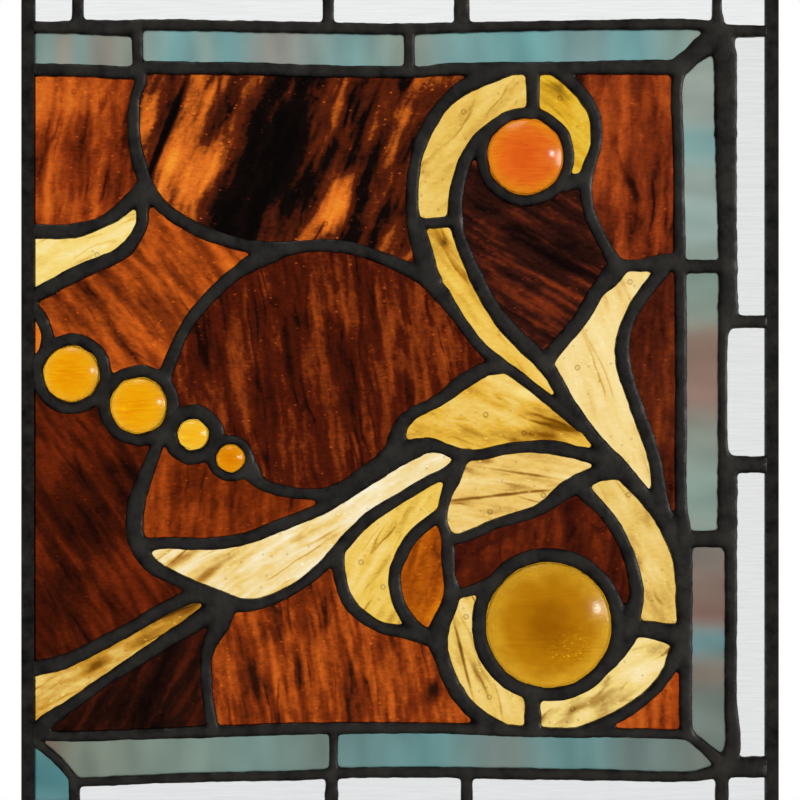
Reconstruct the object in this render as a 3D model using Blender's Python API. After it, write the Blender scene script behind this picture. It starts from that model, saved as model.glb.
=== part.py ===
"""Leaded stained glass panel: scrolling acanthus in amber glass with pressed glass jewels.

Units are metres, +Z is up and the jewelled face looks along -Y. The origin is the centre of the
underside of the sill came, the face that stands on the sill of the window opening.

The panel is drawn as a glazier draws it, on squared paper. Each lead came is a centre line through a
few points, given in squares of the paper, with its width. The glass is cut to the shapes left between
the cames, and every pane reaches into the channels of the lead around it.
"""

import math

import bmesh
import bpy
from mathutils import Vector
from mathutils.geometry import delaunay_2d_cdt

# Driving dimensions.
SIGHT_WIDTH = 0.364
SIGHT_HEIGHT = 0.400
GLASS_THICKNESS = 0.003
FLANGE_THICKNESS = 0.0012
EDGE_FACE = 0.00635
EDGE_WEB = 0.002
GLASS_TUCK = 0.0013
EDGE_TUCK = 0.003
CLEARANCE = 0.0003
LARGE_JEWEL_DIAMETER = 0.0624
LARGE_JEWEL_RISE = 0.009
SCROLL_JEWEL_DIAMETER = 0.0378
SCROLL_JEWEL_RISE = 0.0065
BEAD_DIAMETER = 0.028
BEAD_RISE = 0.005
SMALL_BEAD_DIAMETER = 0.0154
END_BEAD_DIAMETER = 0.014
SMALL_BEAD_RISE = 0.0035
JEWEL_STEP = math.radians(22.5)
DOME_RINGS = 2
CURVE_STEP = math.radians(13)
DAYLIGHT_TOLERANCE = 0.0004
PANE_TOLERANCE = 0.0001
CHANNEL_TOLERANCE = 0.0002
MITRE_LIMIT = 0.65

# The squared paper: the sight size is 728 squares wide and 800 squares high, and squares are counted
# from a margin line left of the sight edge, and down from the head.
SQUARES_WIDE = 728
SQUARES_HIGH = 800
MARGIN_SQUARES = 36
USUAL_WIDTH = 13

# Cames of the plain border and of the field's frame: (across, down) or (across, down, width).
FRAME_CAMES = {
    "head_outer": [(28, 28.5), (60, 29, 12), (82, 28.5, 15), (128, 29.5, 17), (146, 26.5, 11.5),
                   (250, 28, 12), (330, 29.5, 12), (400, 30.5, 12), (460, 29, 11), (560, 27, 10),
                   (640, 26, 11), (700, 26.5, 11), (724, 32, 12), (772, 32.5, 12)],
    "head_inner": [(28, 71), (90, 72), (130, 74), (144, 69), (180, 69.5), (250, 70), (300, 72),
                   (400, 73.5, 12), (418, 73.5, 11), (450, 70.5), (560, 69.5), (640, 68.5, 15),
                   (681, 69, 16)],
    "right_inner": [(678, 68), (675.5, 95, 12), (677.5, 150, 11), (678, 210, 12), (679.5, 300, 12),
                    (680, 400, 12), (680, 500, 12), (683.5, 545, 16), (683, 600, 17), (684.5, 660),
                    (685, 725), (688, 734)],
    "right_outer_upper": [(722, 30, 22), (724, 60, 23), (724.5, 130, 23), (725.5, 200, 20),
                          (726.5, 260, 19), (727, 322, 21)],
    "right_outer_middle": [(726.5, 318, 19), (722, 335, 10), (721.5, 400, 9.5), (722, 450, 10),
                           (726, 464, 19)],
    "right_outer_lower": [(726.5, 464, 20), (726.5, 538, 20), (729.5, 552, 12.5), (729.5, 700, 12.5),
                          (731.5, 745, 16), (724, 766, 16)],
    "sill_inner": [(28, 730, 14), (60, 735, 10), (140, 733, 11), (200, 731, 12), (250, 729, 12),
                   (330, 727, 12), (440, 727, 11), (500, 729, 12), (560, 731.5, 10),
                   (620, 731.5, 10), (688, 733.5, 10)],
    "sill_outer": [(75, 781, 9), (100, 780, 9), (200, 776, 10), (300, 774, 10), (345, 771.5, 11),
                   (440, 771, 11), (520, 772.5, 12), (600, 773.5, 11), (690, 775, 10),
                   (722, 768, 14)],
    "sill_right": [(722, 766, 21), (772, 765.5, 21)],
    "drop_mitre": [(29, 736, 11), (44, 746, 9), (60, 760, 9), (75.5, 778, 9)],
    "drop_edge": [(75.5, 776, 11), (75.5, 808, 11)],
    "head_mitre": [(676, 70, 19), (716, 36, 23)],
    "sill_mitre": [(688, 734, 10), (704, 747, 12), (725, 766, 15)],
}
BORDER_TIES = {
    "head_tie_1": [(79, -8, 11.5), (79, 27, 11.5)],
    "head_tie_2": [(328.5, -8, 11.5), (328.5, 29, 11.5)],
    "head_tie_3": [(461.5, -8, 15.5), (461.5, 29, 15.5)],
    "head_tie_4": [(716, -8, 10), (716, 14, 10), (718, 32, 14)],
    "right_tie_1": [(726, 322, 13), (772, 322, 13)],
    "right_tie_2": [(722, 464, 17), (772, 464.5, 17)],
    "sill_tie_1": [(332, 772, 12), (331.5, 808, 14)],
    "sill_tie_2": [(466.5, 771, 12), (466.5, 808, 12)],
    "sill_tie_3": [(721, 768, 14), (720.5, 808, 12)],
    "blue_tie_head_1": [(138, 28, 11), (139, 72, 11)],
    "blue_tie_head_2": [(409, 30, 11), (409.5, 73, 11)],
    "blue_tie_right_1": [(679, 267, 13.5), (727, 267, 13.5)],
    "blue_tie_right_2": [(682, 538.5, 17), (727, 538.5, 17)],
    "blue_tie_sill": [(334, 727, 9), (333.5, 773, 9)],
}
# Cames of the scrollwork in the field.
FIELD_CAMES = {
    "vine": [(141, 71), (141.5, 82, 12), (136, 100, 11), (134.5, 122), (135.5, 142), (139, 160, 14),
             (146, 182, 15), (157, 201, 15), (175, 217), (200, 231, 14), (225, 240.5), (250, 247),
             (275, 249, 14), (300, 247.5), (325, 246, 12.5), (350, 248.5), (375, 256, 13),
             (400, 266, 14), (420, 276, 16), (437, 290, 18), (453, 311), (468, 332, 12),
             (482, 349, 12), (497, 362), (515, 374, 11), (535, 389.5, 11), (552, 403, 11),
             (568, 416, 12), (582, 427, 12)],
    "disc_left": [(270, 256, 20), (250, 265, 17), (230, 279), (215, 293), (200, 309, 13),
                  (190, 322, 12), (181, 338, 12), (174, 355), (167, 372, 14),
                  (160, 386, 14)],
    "disc_under": [(238, 460, 22), (250, 470, 20), (259, 481, 14), (270, 487, 12), (285, 491, 12),
                   (303, 493.5, 11), (325, 493.5), (345, 486.5, 14), (362, 475, 15),
                   (378, 464, 16), (393, 452, 18)],
    "scroll_outer": [(512, 70, 12), (497, 74, 16), (482, 79, 18), (468, 86, 16), (454, 95, 14),
                     (442, 107), (432, 121, 14), (424, 136, 14), (418, 152), (414, 172),
                     (412, 192), (412.5, 212, 14), (417, 232, 18), (422, 250, 21), (427, 268, 20),
                     (434, 284, 18)],
    "spine": [(502, 121, 11), (485, 133, 12), (473, 147, 13), (465, 162, 14), (459, 180, 14),
              (455.5, 197, 15), (455, 215, 16), (457, 230), (461, 243), (468, 260, 14),
              (477.5, 281, 14), (488, 301, 15), (502, 322, 16), (519, 340, 17), (536, 356, 17),
              (549, 371, 16), (558, 386, 15), (568, 403, 14), (580, 420), (592, 436), (606, 452, 14),
              (615, 463, 18), (628, 478, 17), (643, 495, 15), (656, 511, 15), (666, 528, 15),
              (673, 545), (678, 562, 12), (680, 582, 12)],
    "scroll_tie": [(410, 223, 11), (430, 224, 11), (457, 221.5, 11)],
    "crown_tie": [(532, 68, 15), (532.5, 106, 13), (531, 118, 12)],
    "tip_outer": [(549, 68, 12), (563, 78, 12), (575, 88), (585, 100), (593, 114, 12),
                  (595.5, 130, 12), (595, 147, 12), (590, 162), (585.5, 178), (585.5, 196, 12),
                  (589, 214, 12), (596, 230, 12), (604, 246, 12), (615, 264, 14)],
    "tip_tie": [(562, 186, 14), (586, 179, 15)],
    "right_leaf_tie": [(612, 265), (630, 266, 12), (645, 265.5), (660, 262.5, 17), (680, 264, 18)],
    "right_leaf_top": [(619, 266, 20), (607, 280, 20), (596, 292, 15), (588, 306, 15),
                       (578, 322, 15), (566, 336, 15), (555, 349, 15), (544, 363, 16)],
    "right_leaf_back": [(668, 262, 14), (656, 278, 15), (645, 292, 14), (634, 308, 14),
                        (626, 325, 13), (621.5, 345, 15), (622.5, 365, 15), (628, 385, 14),
                        (634, 402, 14), (641, 422, 14), (648, 441), (654, 461), (657, 480, 14),
                        (659, 500, 17), (664, 518, 19), (672, 534, 20)],
    "crest_top": [(393, 452, 18), (397, 438, 18), (402, 424, 15), (413, 413.5), (430, 405, 12),
                  (445, 396, 14), (458, 385, 16), (470, 377.5, 16), (484, 370, 14), (500, 366, 16)],
    "mid_rib": [(462, 455, 14), (480, 454.5, 11), (500, 450, 11), (520, 447, 12), (550, 447, 15),
                (578, 453, 14), (606, 459, 18)],
    "long_leaf_top": [(141, 545, 14), (165, 542.5, 12), (200, 543.5, 12.5), (225, 542), (250, 537),
                      (275, 527), (300, 517.5, 12), (322, 508), (342, 496, 14), (360, 484, 14),
                      (378, 472, 15), (396, 458, 20), (413, 449, 21), (430, 445, 15),
                      (445, 449, 12), (464, 457, 14)],
    "long_leaf_under": [(464, 458, 13), (445, 473, 11), (430, 480, 12), (400, 498, 11),
                        (385, 507, 12), (370, 517), (357, 529), (345, 542, 14), (335, 554),
                        (322, 567, 12), (308, 579, 11), (290, 590.5, 11), (272, 599, 11),
                        (255, 604, 12), (238, 604, 15), (222, 598, 15)],
    "long_leaf_end": [(164, 434), (158, 446), (150, 466, 14), (144, 482, 16), (138, 500, 18),
                      (135.5, 520, 18), (136.5, 536, 18), (142, 551, 17), (154, 566, 15), (175, 577.5),
                      (195, 587, 14), (212, 594, 15), (226, 600, 16)],
    "middle_leaf_under": [(447, 537, 12), (458, 538.5, 11), (476, 532, 11), (495, 523.5, 11),
                          (515, 517.5, 11), (535, 511, 12), (550, 502, 14), (562, 492, 17),
                          (576, 484, 18), (591, 476, 17), (606, 471, 19), (622, 474, 15),
                          (638, 488, 12)],
    "stalk": [(459, 464, 15), (452, 480, 16), (446, 495, 12), (442, 512, 11), (442, 522, 11),
              (447, 537, 12), (448, 555, 14), (449, 575), (452, 591, 17), (448, 607, 17),
              (440, 625, 20), (438, 642, 20), (443, 660, 15), (450, 679, 15), (463, 700, 15),
              (480, 716, 15), (502, 728)],
    "curl_outer": [(339, 549, 14), (338.5, 565), (341, 580), (345, 594), (353, 607), (366, 618, 12),
                   (382, 627, 11), (400, 630.5), (420, 636), (438, 642, 14)],
    "curl_inner": [(442, 512, 11), (433, 519), (420, 529), (409, 541), (401, 556), (395, 572, 12),
                   (396, 592), (402, 609), (413, 624), (428, 636, 14), (439, 642, 14)],
    "ring_bud": [(450, 592, 14), (463, 592, 10), (478, 587, 11), (494, 580, 11)],
    "ring_inner": [(575, 479, 16), (584, 492, 16), (600, 508), (612, 523), (622, 541),
                   (629.5, 560), (634, 577, 14), (636, 595, 15), (632, 612, 18), (629, 630, 18), (622, 647, 14), (610, 662, 12),
                   (596, 675, 10)],
    "ring_tie_right": [(626, 628, 16), (650, 629, 17), (668, 633, 20), (684, 634, 24)],
    "ring_tie_sill": [(532, 692, 17), (532.5, 731, 17)],
    "ring_outer": [(683, 644, 18), (676, 655, 20), (667, 671, 12), (656, 686, 12), (642, 699, 12),
                   (625, 711, 12), (603, 722, 12), (578, 731, 10)],
    "left_leaf_top": [(28, 231.5, 16), (60, 232.5, 14.5), (80, 230.5, 15), (100, 224, 12),
                      (115, 216), (128, 205, 16), (144, 190, 18)],
    "left_leaf_under": [(147, 193, 14), (143.5, 212, 12), (143, 224), (137, 237), (128, 249, 14),
                        (115, 258, 14), (98, 265, 14), (80, 273, 15), (62, 282, 15), (48, 290, 15),
                        (28, 300, 14)],
    "low_leaf_top": [(28, 669, 16), (60, 662.5, 15), (84, 652.5, 15), (108, 640, 14), (132, 627.5),
                     (155, 613.5, 14), (176, 602.5, 14), (196, 595, 15), (215, 596, 16)],
    "low_leaf_under": [(28, 737, 18), (50, 719, 15), (66, 708), (82, 697, 12), (97, 686, 12),
                       (115, 674, 12), (135, 661, 14), (155, 648, 14), (175, 635, 16),
                       (193, 624, 18), (210, 612, 18), (226, 601, 16)],
    "low_amber_tie": [(231, 604, 16), (222, 622, 18), (212, 640, 15), (207, 658, 11), (207, 680, 12),
                      (209, 700, 11), (214, 730, 12)],
}
# Round jewels: centre in squares, diameter, rise of the dome, and the width of the came around it.
JEWELS = {
    "jewel_ring": ((548, 624), LARGE_JEWEL_DIAMETER, LARGE_JEWEL_RISE, 14.5),
    "jewel_scroll": ((525, 157.5), SCROLL_JEWEL_DIAMETER, SCROLL_JEWEL_RISE, 11.5),
    "jewel_edge": ((14, 337.5), BEAD_DIAMETER, BEAD_RISE, 13),
    "bead_1": ((73, 374), BEAD_DIAMETER, BEAD_RISE, 12.5),
    "bead_2": ((140, 405.5), BEAD_DIAMETER, BEAD_RISE, 12.5),
    "bead_3": ((194, 434.5), SMALL_BEAD_DIAMETER, SMALL_BEAD_RISE, 15),
    "bead_4": ((231.5, 458), END_BEAD_DIAMETER, SMALL_BEAD_RISE, 9.5),
}
CUT_JEWEL = "jewel_edge"

# A point inside each flat pane, by the sheet of glass that it is cut from.
CLEAR_PANES = {
    "clear_top_1": (55, 10), "clear_top_2": (200, 10), "clear_top_3": (395, 10),
    "clear_top_4": (590, 10), "clear_top_corner": (742, 12), "clear_right_1": (750, 175),
    "clear_right_2": (745, 390), "clear_right_3": (750, 620), "clear_bottom_corner": (745, 790),
    "clear_bottom_3": (600, 790), "clear_bottom_2": (400, 790), "clear_bottom_1": (200, 791),
}
BLUE_PANES = {
    "blue_top_1": (85, 52), "blue_top_2": (270, 50), "blue_top_3": (560, 48),
    "blue_right_1": (700, 160), "blue_right_2": (702, 400), "blue_right_3": (708, 640),
    "blue_bottom_2": (540, 752), "blue_bottom_1": (200, 755), "blue_left_drop": (52, 780),
}
AMBER_PANES = {
    "amber_top_left": (85, 150), "amber_top_middle": (280, 160), "amber_scroll_heart": (530, 260),
    "amber_top_right": (635, 170), "amber_right_sliver": (655, 380),
    "amber_bottom_middle": (320, 670), "amber_bottom_left": (160, 700), "amber_left": (80, 520),
    "amber_mid_left": (150, 300), "amber_disc": (330, 370), "amber_under_beads": (210, 505),
    "amber_leaf_pocket": (422, 580), "amber_crescent": (500, 545), "amber_corner": (665, 710),
}
YELLOW_PANES = {
    "leaf_upper_left": (80, 252), "scroll_crown": (445, 150), "scroll_tip": (578, 120),
    "leaf_long": (280, 565), "leaf_crest": (500, 415), "leaf_middle": (520, 485),
    "leaf_curl": (370, 560), "ring_right": (655, 570), "ring_bottom": (610, 695),
    "ring_left": (480, 690), "stem": (475, 300), "leaf_right": (600, 380),
    "leaf_lower_left": (100, 660),
}

# Derived sizes.
SQUARE_X = SIGHT_WIDTH / SQUARES_WIDE
SQUARE_Z = SIGHT_HEIGHT / SQUARES_HIGH
HALF_GLASS = GLASS_THICKNESS / 2
HALF_CHANNEL = HALF_GLASS + CLEARANCE
HALF_LEAD = HALF_CHANNEL + FLANGE_THICKNESS
SIGHT_LEFT = -SIGHT_WIDTH / 2
SIGHT_FOOT = EDGE_FACE

# Colours as sRGB hex, roughness and metallic value.
FINISHES = {
    "lead": ("3A3937", 0.55, 0.85),
    "clear": ("E6E8E8", 0.12, 0.0),
    "blue": ("86A29C", 0.25, 0.0),
    "amber": ("8C3713", 0.18, 0.0),
    "yellow": ("E4B85A", 0.16, 0.0),
    "orange": ("E4691A", 0.08, 0.0),
    "gold": ("EF9F08", 0.08, 0.0),
    "honey": ("B9780A", 0.08, 0.0),
}
JEWEL_FINISHES = {"jewel_ring": "honey", "jewel_scroll": "orange", "jewel_edge": "orange"}


def clear_scene():
    """Remove the objects of the open scene."""
    for thing in list(bpy.data.objects):
        bpy.data.objects.remove(thing, do_unlink=True)


def linear(channel):
    """An sRGB channel from 0 to 1 as a linear value."""
    return channel / 12.92 if channel <= 0.04045 else ((channel + 0.055) / 1.055) ** 2.4


def make_finish(name):
    """A Principled material from the FINISHES table."""
    code, roughness, metallic = FINISHES[name]
    rgb = [linear(int(code[i:i + 2], 16) / 255) for i in (0, 2, 4)]
    finish = bpy.data.materials.new(name)
    finish.use_nodes = True
    shader = finish.node_tree.nodes["Principled BSDF"]
    shader.inputs["Base Color"].default_value = (*rgb, 1.0)
    shader.inputs["Roughness"].default_value = roughness
    shader.inputs["Metallic"].default_value = metallic
    if name != "lead":
        shader.inputs["Transmission Weight"].default_value = 0.8
    return finish


def add_object(name, mesh_builder, finish):
    """An object of a bmesh, closed and facing out."""
    bmesh.ops.recalc_face_normals(mesh_builder, faces=mesh_builder.faces)
    mesh = bpy.data.meshes.new(name)
    mesh_builder.to_mesh(mesh)
    mesh_builder.free()
    mesh.materials.append(finish)
    thing = bpy.data.objects.new(name, mesh)
    bpy.context.collection.objects.link(thing)
    return thing


def on_panel(square):
    """A point of the squared paper as (x, z) on the panel."""
    return Vector((SIGHT_LEFT + (square[0] - MARGIN_SQUARES) * SQUARE_X,
                   SIGHT_FOOT + (SQUARES_HIGH - square[1]) * SQUARE_Z))


def smooth_line(points):
    """(position, half width) along a smooth curve through a came's points, denser where it bends."""
    knots = [(on_panel(p), (p[2] if len(p) > 2 else USUAL_WIDTH) * SQUARE_X / 2) for p in points]
    if len(knots) == 2:
        return knots
    route = [knots[0]]
    for i in range(len(knots) - 1):
        here, there = knots[i], knots[i + 1]
        before = knots[i - 1][0] if i else here[0] * 2 - there[0]
        after = knots[i + 2][0] if i + 2 < len(knots) else there[0] * 2 - here[0]
        span = (there[0] - here[0]).length
        leave = (there[0] - before).normalized() * span
        arrive = (after - here[0]).normalized() * span
        steps = max(1, math.ceil(leave.angle(arrive) / CURVE_STEP))
        for k in range(1, steps + 1):
            t = k / steps
            position = ((2 * t**3 - 3 * t**2 + 1) * here[0] + (t**3 - 2 * t**2 + t) * leave
                        + (3 * t**2 - 2 * t**3) * there[0] + (t**3 - t**2) * arrive)
            route.append((position, here[1] + (there[1] - here[1]) * t))
    return route


def ribbon(route, closed=False):
    """Four-sided faces that cover a came of the given route."""
    count = len(route)
    sides = []
    for i, (position, half) in enumerate(route):
        before = route[i - 1][0] if i or closed else position
        after = route[(i + 1) % count][0] if i + 1 < count or closed else position
        along = (after - before).normalized()
        across = Vector((-along.y, along.x)) * half
        sides.append((position + across, position - across))
    pairs = count if closed else count - 1
    return [[sides[i][0], sides[(i + 1) % count][0], sides[(i + 1) % count][1], sides[i][1]]
            for i in range(pairs)]


def ring_points(centre, radius, step=JEWEL_STEP):
    """Points evenly around a circle."""
    count = max(12, 2 * round(math.pi / step * math.sqrt(radius / (BEAD_DIAMETER / 2))))
    return [centre + Vector((math.cos(math.tau * i / count), math.sin(math.tau * i / count))) * radius
            for i in range(count)]


def came_faces():
    """Faces that cover every came of the drawing, the rings around the jewels too."""
    faces = []
    for group in (FRAME_CAMES, BORDER_TIES, FIELD_CAMES):
        for points in group.values():
            faces += ribbon(smooth_line(points))
    for centre, diameter, _, width in JEWELS.values():
        half = width * SQUARE_X / 2
        middle = ring_points(on_panel(centre), diameter / 2 + half)
        faces += ribbon([(p, half) for p in middle], closed=True)
    return faces


def overlay(groups):
    """Cut groups of faces against each other. Returns points, triangles and each one's groups."""
    points, faces, owners = [], [], []
    for index, group in enumerate(groups):
        for face in group:
            faces.append(list(range(len(points), len(points) + len(face))))
            points.extend(face if signed_area(face) > 0 else face[::-1])
            owners.append(index)
    cut = delaunay_2d_cdt(points, [], faces, 0, 1e-7, True)
    kinds = [{owners[face] for face in origin} for origin in cut[5]]
    return cut[0], cut[2], kinds


def border_loop(points, triangles):
    """The outer outline of joined triangles, anticlockwise."""
    edges = {}
    for triangle in triangles:
        for k in range(3):
            edges[(triangle[k], triangle[(k + 1) % 3])] = True
    follow = {}
    for start, end in edges:
        if (end, start) not in edges:
            follow.setdefault(start, []).append(end)
    loops = []
    while follow:
        start = next(iter(follow))
        loop, here = [start], start
        while True:
            ends = follow[here]
            there = ends.pop()
            if not ends:
                del follow[here]
            if there == start:
                break
            loop.append(there)
            here = there
        loops.append([points[i] for i in loop])
    return max(loops, key=lambda loop: abs(signed_area(loop)))


def signed_area(loop):
    """Area inside an outline, positive when it runs anticlockwise."""
    return sum(a.x * b.y - b.x * a.y for a, b in zip(loop, loop[1:] + loop[:1])) / 2


def plain_outline(loop, tolerance):
    """Drop the points that lie within the tolerance of the outline without them."""
    def keep(first, last):
        chord = loop[last % len(loop)] - loop[first]
        worst, where = tolerance, None
        for i in range(first + 1, last):
            offset = loop[i] - loop[first]
            if chord.length > 0:
                distance = abs(chord.x * offset.y - chord.y * offset.x) / chord.length
            else:
                distance = offset.length
            if distance > worst:
                worst, where = distance, i
        if where is None:
            return [loop[first]]
        return keep(first, where) + keep(where, last)
    corner = max(range(len(loop)), key=lambda i: loop[i].x + loop[i].y)
    loop = loop[corner:] + loop[:corner]
    far = max(range(len(loop)), key=lambda i: (loop[i] - loop[0]).length)
    return keep(0, far) + keep(far, len(loop))


def inside(point, loop):
    """Whether a point lies inside an outline."""
    odd = False
    for a, b in zip(loop, loop[1:] + loop[:1]):
        if (a.y > point.y) != (b.y > point.y):
            if point.x < a.x + (b.x - a.x) * (point.y - a.y) / (b.y - a.y):
                odd = not odd
    return odd


def sight_rectangle(grow=0.0):
    """Corners of the sight size, anticlockwise, grown outwards."""
    left, right = SIGHT_LEFT - grow, SIGHT_LEFT + SIGHT_WIDTH + grow
    foot, head = SIGHT_FOOT - grow, SIGHT_FOOT + SIGHT_HEIGHT + grow
    return [Vector(p) for p in ((left, foot), (right, foot), (right, head), (left, head))]


def cut_panes(seeds):
    """The outline of the daylight around each seed, between the cames."""
    points, triangles, kinds = overlay([[sight_rectangle()], came_faces()])
    by_edge = {}
    for index, triangle in enumerate(triangles):
        for k in range(3):
            edge = frozenset((triangle[k], triangle[(k + 1) % 3]))
            by_edge.setdefault(edge, []).append(index)
    glazed = [kind == {0} for kind in kinds]
    panes = {}
    for name, seed in seeds.items():
        place = on_panel(seed)
        start = next(i for i, t in enumerate(triangles)
                     if glazed[i] and inside(place, [points[k] for k in t]))
        found, waiting = {start}, [start]
        while waiting:
            triangle = triangles[waiting.pop()]
            for k in range(3):
                for other in by_edge[frozenset((triangle[k], triangle[(k + 1) % 3]))]:
                    if glazed[other] and other not in found:
                        found.add(other)
                        waiting.append(other)
        outline = border_loop(points, [triangles[i] for i in found])
        panes[name] = plain_outline(outline, DAYLIGHT_TOLERANCE)
    return panes


def grow_outline(loop, distance, tolerance):
    """The outline moved outwards. Only its sharpest corners are cut off."""
    count = len(loop)
    faces = [loop]
    for i in range(count):
        here, there = loop[i], loop[(i + 1) % count]
        along = (there - here).normalized()
        out = Vector((along.y, -along.x)) * distance
        faces.append([here, here + out, there + out, there])
        before = (here - loop[i - 1]).normalized()
        turn = before.x * along.y - before.y * along.x
        if turn > 1e-6:
            out_before = Vector((before.y, -before.x)) * distance
            middle = (out + out_before).normalized()
            middle *= distance / max(MITRE_LIMIT, middle.dot(out) / distance)
            faces.append([here, here + out_before, here + middle, here + out])
    points, triangles, kinds = overlay([faces])
    grown = border_loop(points, [t for t, kind in zip(triangles, kinds) if kind])
    return plain_outline(grown, tolerance)


def reach_to_edge(loop):
    """Move the points on the sight edge outwards, so that a pane reaches into the edge came."""
    extra = EDGE_TUCK - GLASS_TUCK
    low, high = sight_rectangle()[0], sight_rectangle()[2]
    moved = []
    for point in loop:
        shifted = point.copy()
        for axis in (0, 1):
            if abs(point[axis] - low[axis]) < CLEARANCE / 3:
                shifted[axis] = low[axis] - extra
            elif abs(point[axis] - high[axis]) < CLEARANCE / 3:
                shifted[axis] = high[axis] + extra
        moved.append(shifted)
    return moved


def plate(builder, loop, front, back):
    """A flat pane of the given outline between two depths. Returns its front face."""
    faces = [builder.faces.new([builder.verts.new((p.x, depth, p.y)) for p in loop])
             for depth in (front, back)]
    count = len(loop)
    for i in range(count):
        j = (i + 1) % count
        builder.faces.new([faces[0].verts[i], faces[0].verts[j], faces[1].verts[j],
                           faces[1].verts[i]])
    return faces[0]


def build_pane(name, daylight, finish):
    """A flat pane: the daylight between the cames and the margin held in their channels."""
    builder = bmesh.new()
    outline = grow_outline(reach_to_edge(daylight), GLASS_TUCK, PANE_TOLERANCE)
    plate(builder, outline, -HALF_GLASS, HALF_GLASS)
    return add_object(name, builder, finish)


def build_jewel(name, finish):
    """A round pressed jewel: a flat foot held by the came and a dome in front of it."""
    centre, diameter, rise, _ = JEWELS[name]
    middle = on_panel(centre)
    builder = bmesh.new()
    front = plate(builder, ring_points(middle, diameter / 2 + GLASS_TUCK), -HALF_GLASS, HALF_GLASS)
    foot = diameter / 2 - CLEARANCE
    count = len(front.verts)
    rings = [list(front.verts)]
    for k in range(DOME_RINGS + 1):
        tilt = math.pi / 2 * k / (DOME_RINGS + 0.5)
        radius = foot * math.cos(tilt)
        depth = -HALF_GLASS - (FLANGE_THICKNESS + rise) * math.sin(tilt)
        rings.append([builder.verts.new((middle.x + radius * math.cos(math.tau * i / count), depth,
                                         middle.y + radius * math.sin(math.tau * i / count)))
                      for i in range(count)])
    builder.faces.remove(front)
    for lower, upper in zip(rings, rings[1:]):
        for i in range(count):
            j = (i + 1) % count
            builder.faces.new([lower[i], lower[j], upper[j], upper[i]])
    builder.faces.new(rings[-1])
    return add_object(name, builder, finish)


def build_matrix(daylights, finish):
    """The soldered net of H-section cames: two flanges, and the heart between the glass edges."""
    openings = [list(loop) for loop in daylights.values()]
    channels = [grow_outline(reach_to_edge(loop), GLASS_TUCK + CLEARANCE, CHANNEL_TOLERANCE)
                for loop in daylights.values()]
    for centre, diameter, _, _ in JEWELS.values():
        openings.append(ring_points(on_panel(centre), diameter / 2))
        channels.append(ring_points(on_panel(centre), diameter / 2 + GLASS_TUCK + CLEARANCE))
    points, triangles, kinds = overlay([[sight_rectangle(-CLEARANCE)], openings, channels])
    depths = [-HALF_LEAD, -HALF_CHANNEL, HALF_CHANNEL, HALF_LEAD]
    flange = {i for i, kind in enumerate(kinds) if 0 in kind and 1 not in kind}
    heart = {i for i in flange if 2 not in kinds[i]}
    layers = [flange, heart, flange]
    by_edge = {}
    for index, triangle in enumerate(triangles):
        for k in range(3):
            by_edge.setdefault(frozenset((triangle[k], triangle[(k + 1) % 3])), []).append(index)
    builder = bmesh.new()
    made = {}

    def corner(point, level):
        if (point, level) not in made:
            place = points[point]
            made[(point, level)] = builder.verts.new((place.x, depths[level], place.y))
        return made[(point, level)]

    for level, layer in enumerate(layers):
        for face in (level, level + 1):
            other = layers[face - 1] if face == level else layers[face] if face < 3 else set()
            other = set() if face in (0, 3) else other
            for index in layer - other:
                builder.faces.new([corner(p, face) for p in triangles[index]])
        for edge, sides in by_edge.items():
            if sum(index in layer for index in sides) == 1:
                a, b = sorted(edge)
                builder.faces.new([corner(a, level), corner(b, level), corner(b, level + 1),
                                   corner(a, level + 1)])
    return add_object("lead_matrix", builder, finish)


def build_edge_came(name, side, finish):
    """One C-section came on an edge of the panel, mitred at both ends."""
    corners = sight_rectangle()
    start, end = corners[side], corners[(side + 1) % 4]
    along = (end - start).normalized()
    out = Vector((along.y, -along.x))
    profile = [(0, -HALF_LEAD), (EDGE_FACE, -HALF_LEAD), (EDGE_FACE, HALF_LEAD), (0, HALF_LEAD),
               (0, HALF_CHANNEL), (EDGE_FACE - EDGE_WEB, HALF_CHANNEL),
               (EDGE_FACE - EDGE_WEB, -HALF_CHANNEL), (0, -HALF_CHANNEL)]
    builder = bmesh.new()
    ends = []
    for origin, sign in ((start, -1), (end, 1)):
        ring = []
        for reach, depth in profile:
            place = origin + out * reach + along * sign * (reach - CLEARANCE / 2)
            ring.append(builder.verts.new((place.x, depth, place.y)))
        ends.append(ring)
    for ring in ends:
        builder.faces.new(ring)
    for i in range(len(profile)):
        j = (i + 1) % len(profile)
        builder.faces.new([ends[0][i], ends[0][j], ends[1][j], ends[1][i]])
    return add_object(name, builder, finish)


def cut_jewel_outline(name):
    """The part of a round jewel that lies inside the sight edge."""
    centre, diameter, _, _ = JEWELS[name]
    circle = ring_points(on_panel(centre), diameter / 2, JEWEL_STEP / 2)
    points, triangles, kinds = overlay([[sight_rectangle()], [circle]])
    outline = border_loop(points, [t for t, kind in zip(triangles, kinds) if kind == {0, 1}])
    return plain_outline(outline, DAYLIGHT_TOLERANCE)


def main():
    """Build every pane, jewel and came."""
    clear_scene()
    finishes = {name: make_finish(name) for name in FINISHES}
    sheets = {"clear": CLEAR_PANES, "blue": BLUE_PANES, "amber": AMBER_PANES,
              "yellow": YELLOW_PANES}
    seeds = {name: seed for sheet in sheets.values() for name, seed in sheet.items()}
    daylights = cut_panes(seeds)
    for sheet, names in sheets.items():
        for name in names:
            build_pane(name, daylights[name], finishes[sheet])
    for name in JEWELS:
        finish = finishes[JEWEL_FINISHES.get(name, "gold")]
        if name == CUT_JEWEL:
            daylights[name] = cut_jewel_outline(name)
            build_pane(name, daylights[name], finish)
        else:
            build_jewel(name, finish)
    build_matrix(daylights, finishes["lead"])
    for side, name in enumerate(("edge_came_sill", "edge_came_right", "edge_came_head",
                                 "edge_came_left")):
        build_edge_came(name, side, finishes["lead"])


main()
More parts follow.
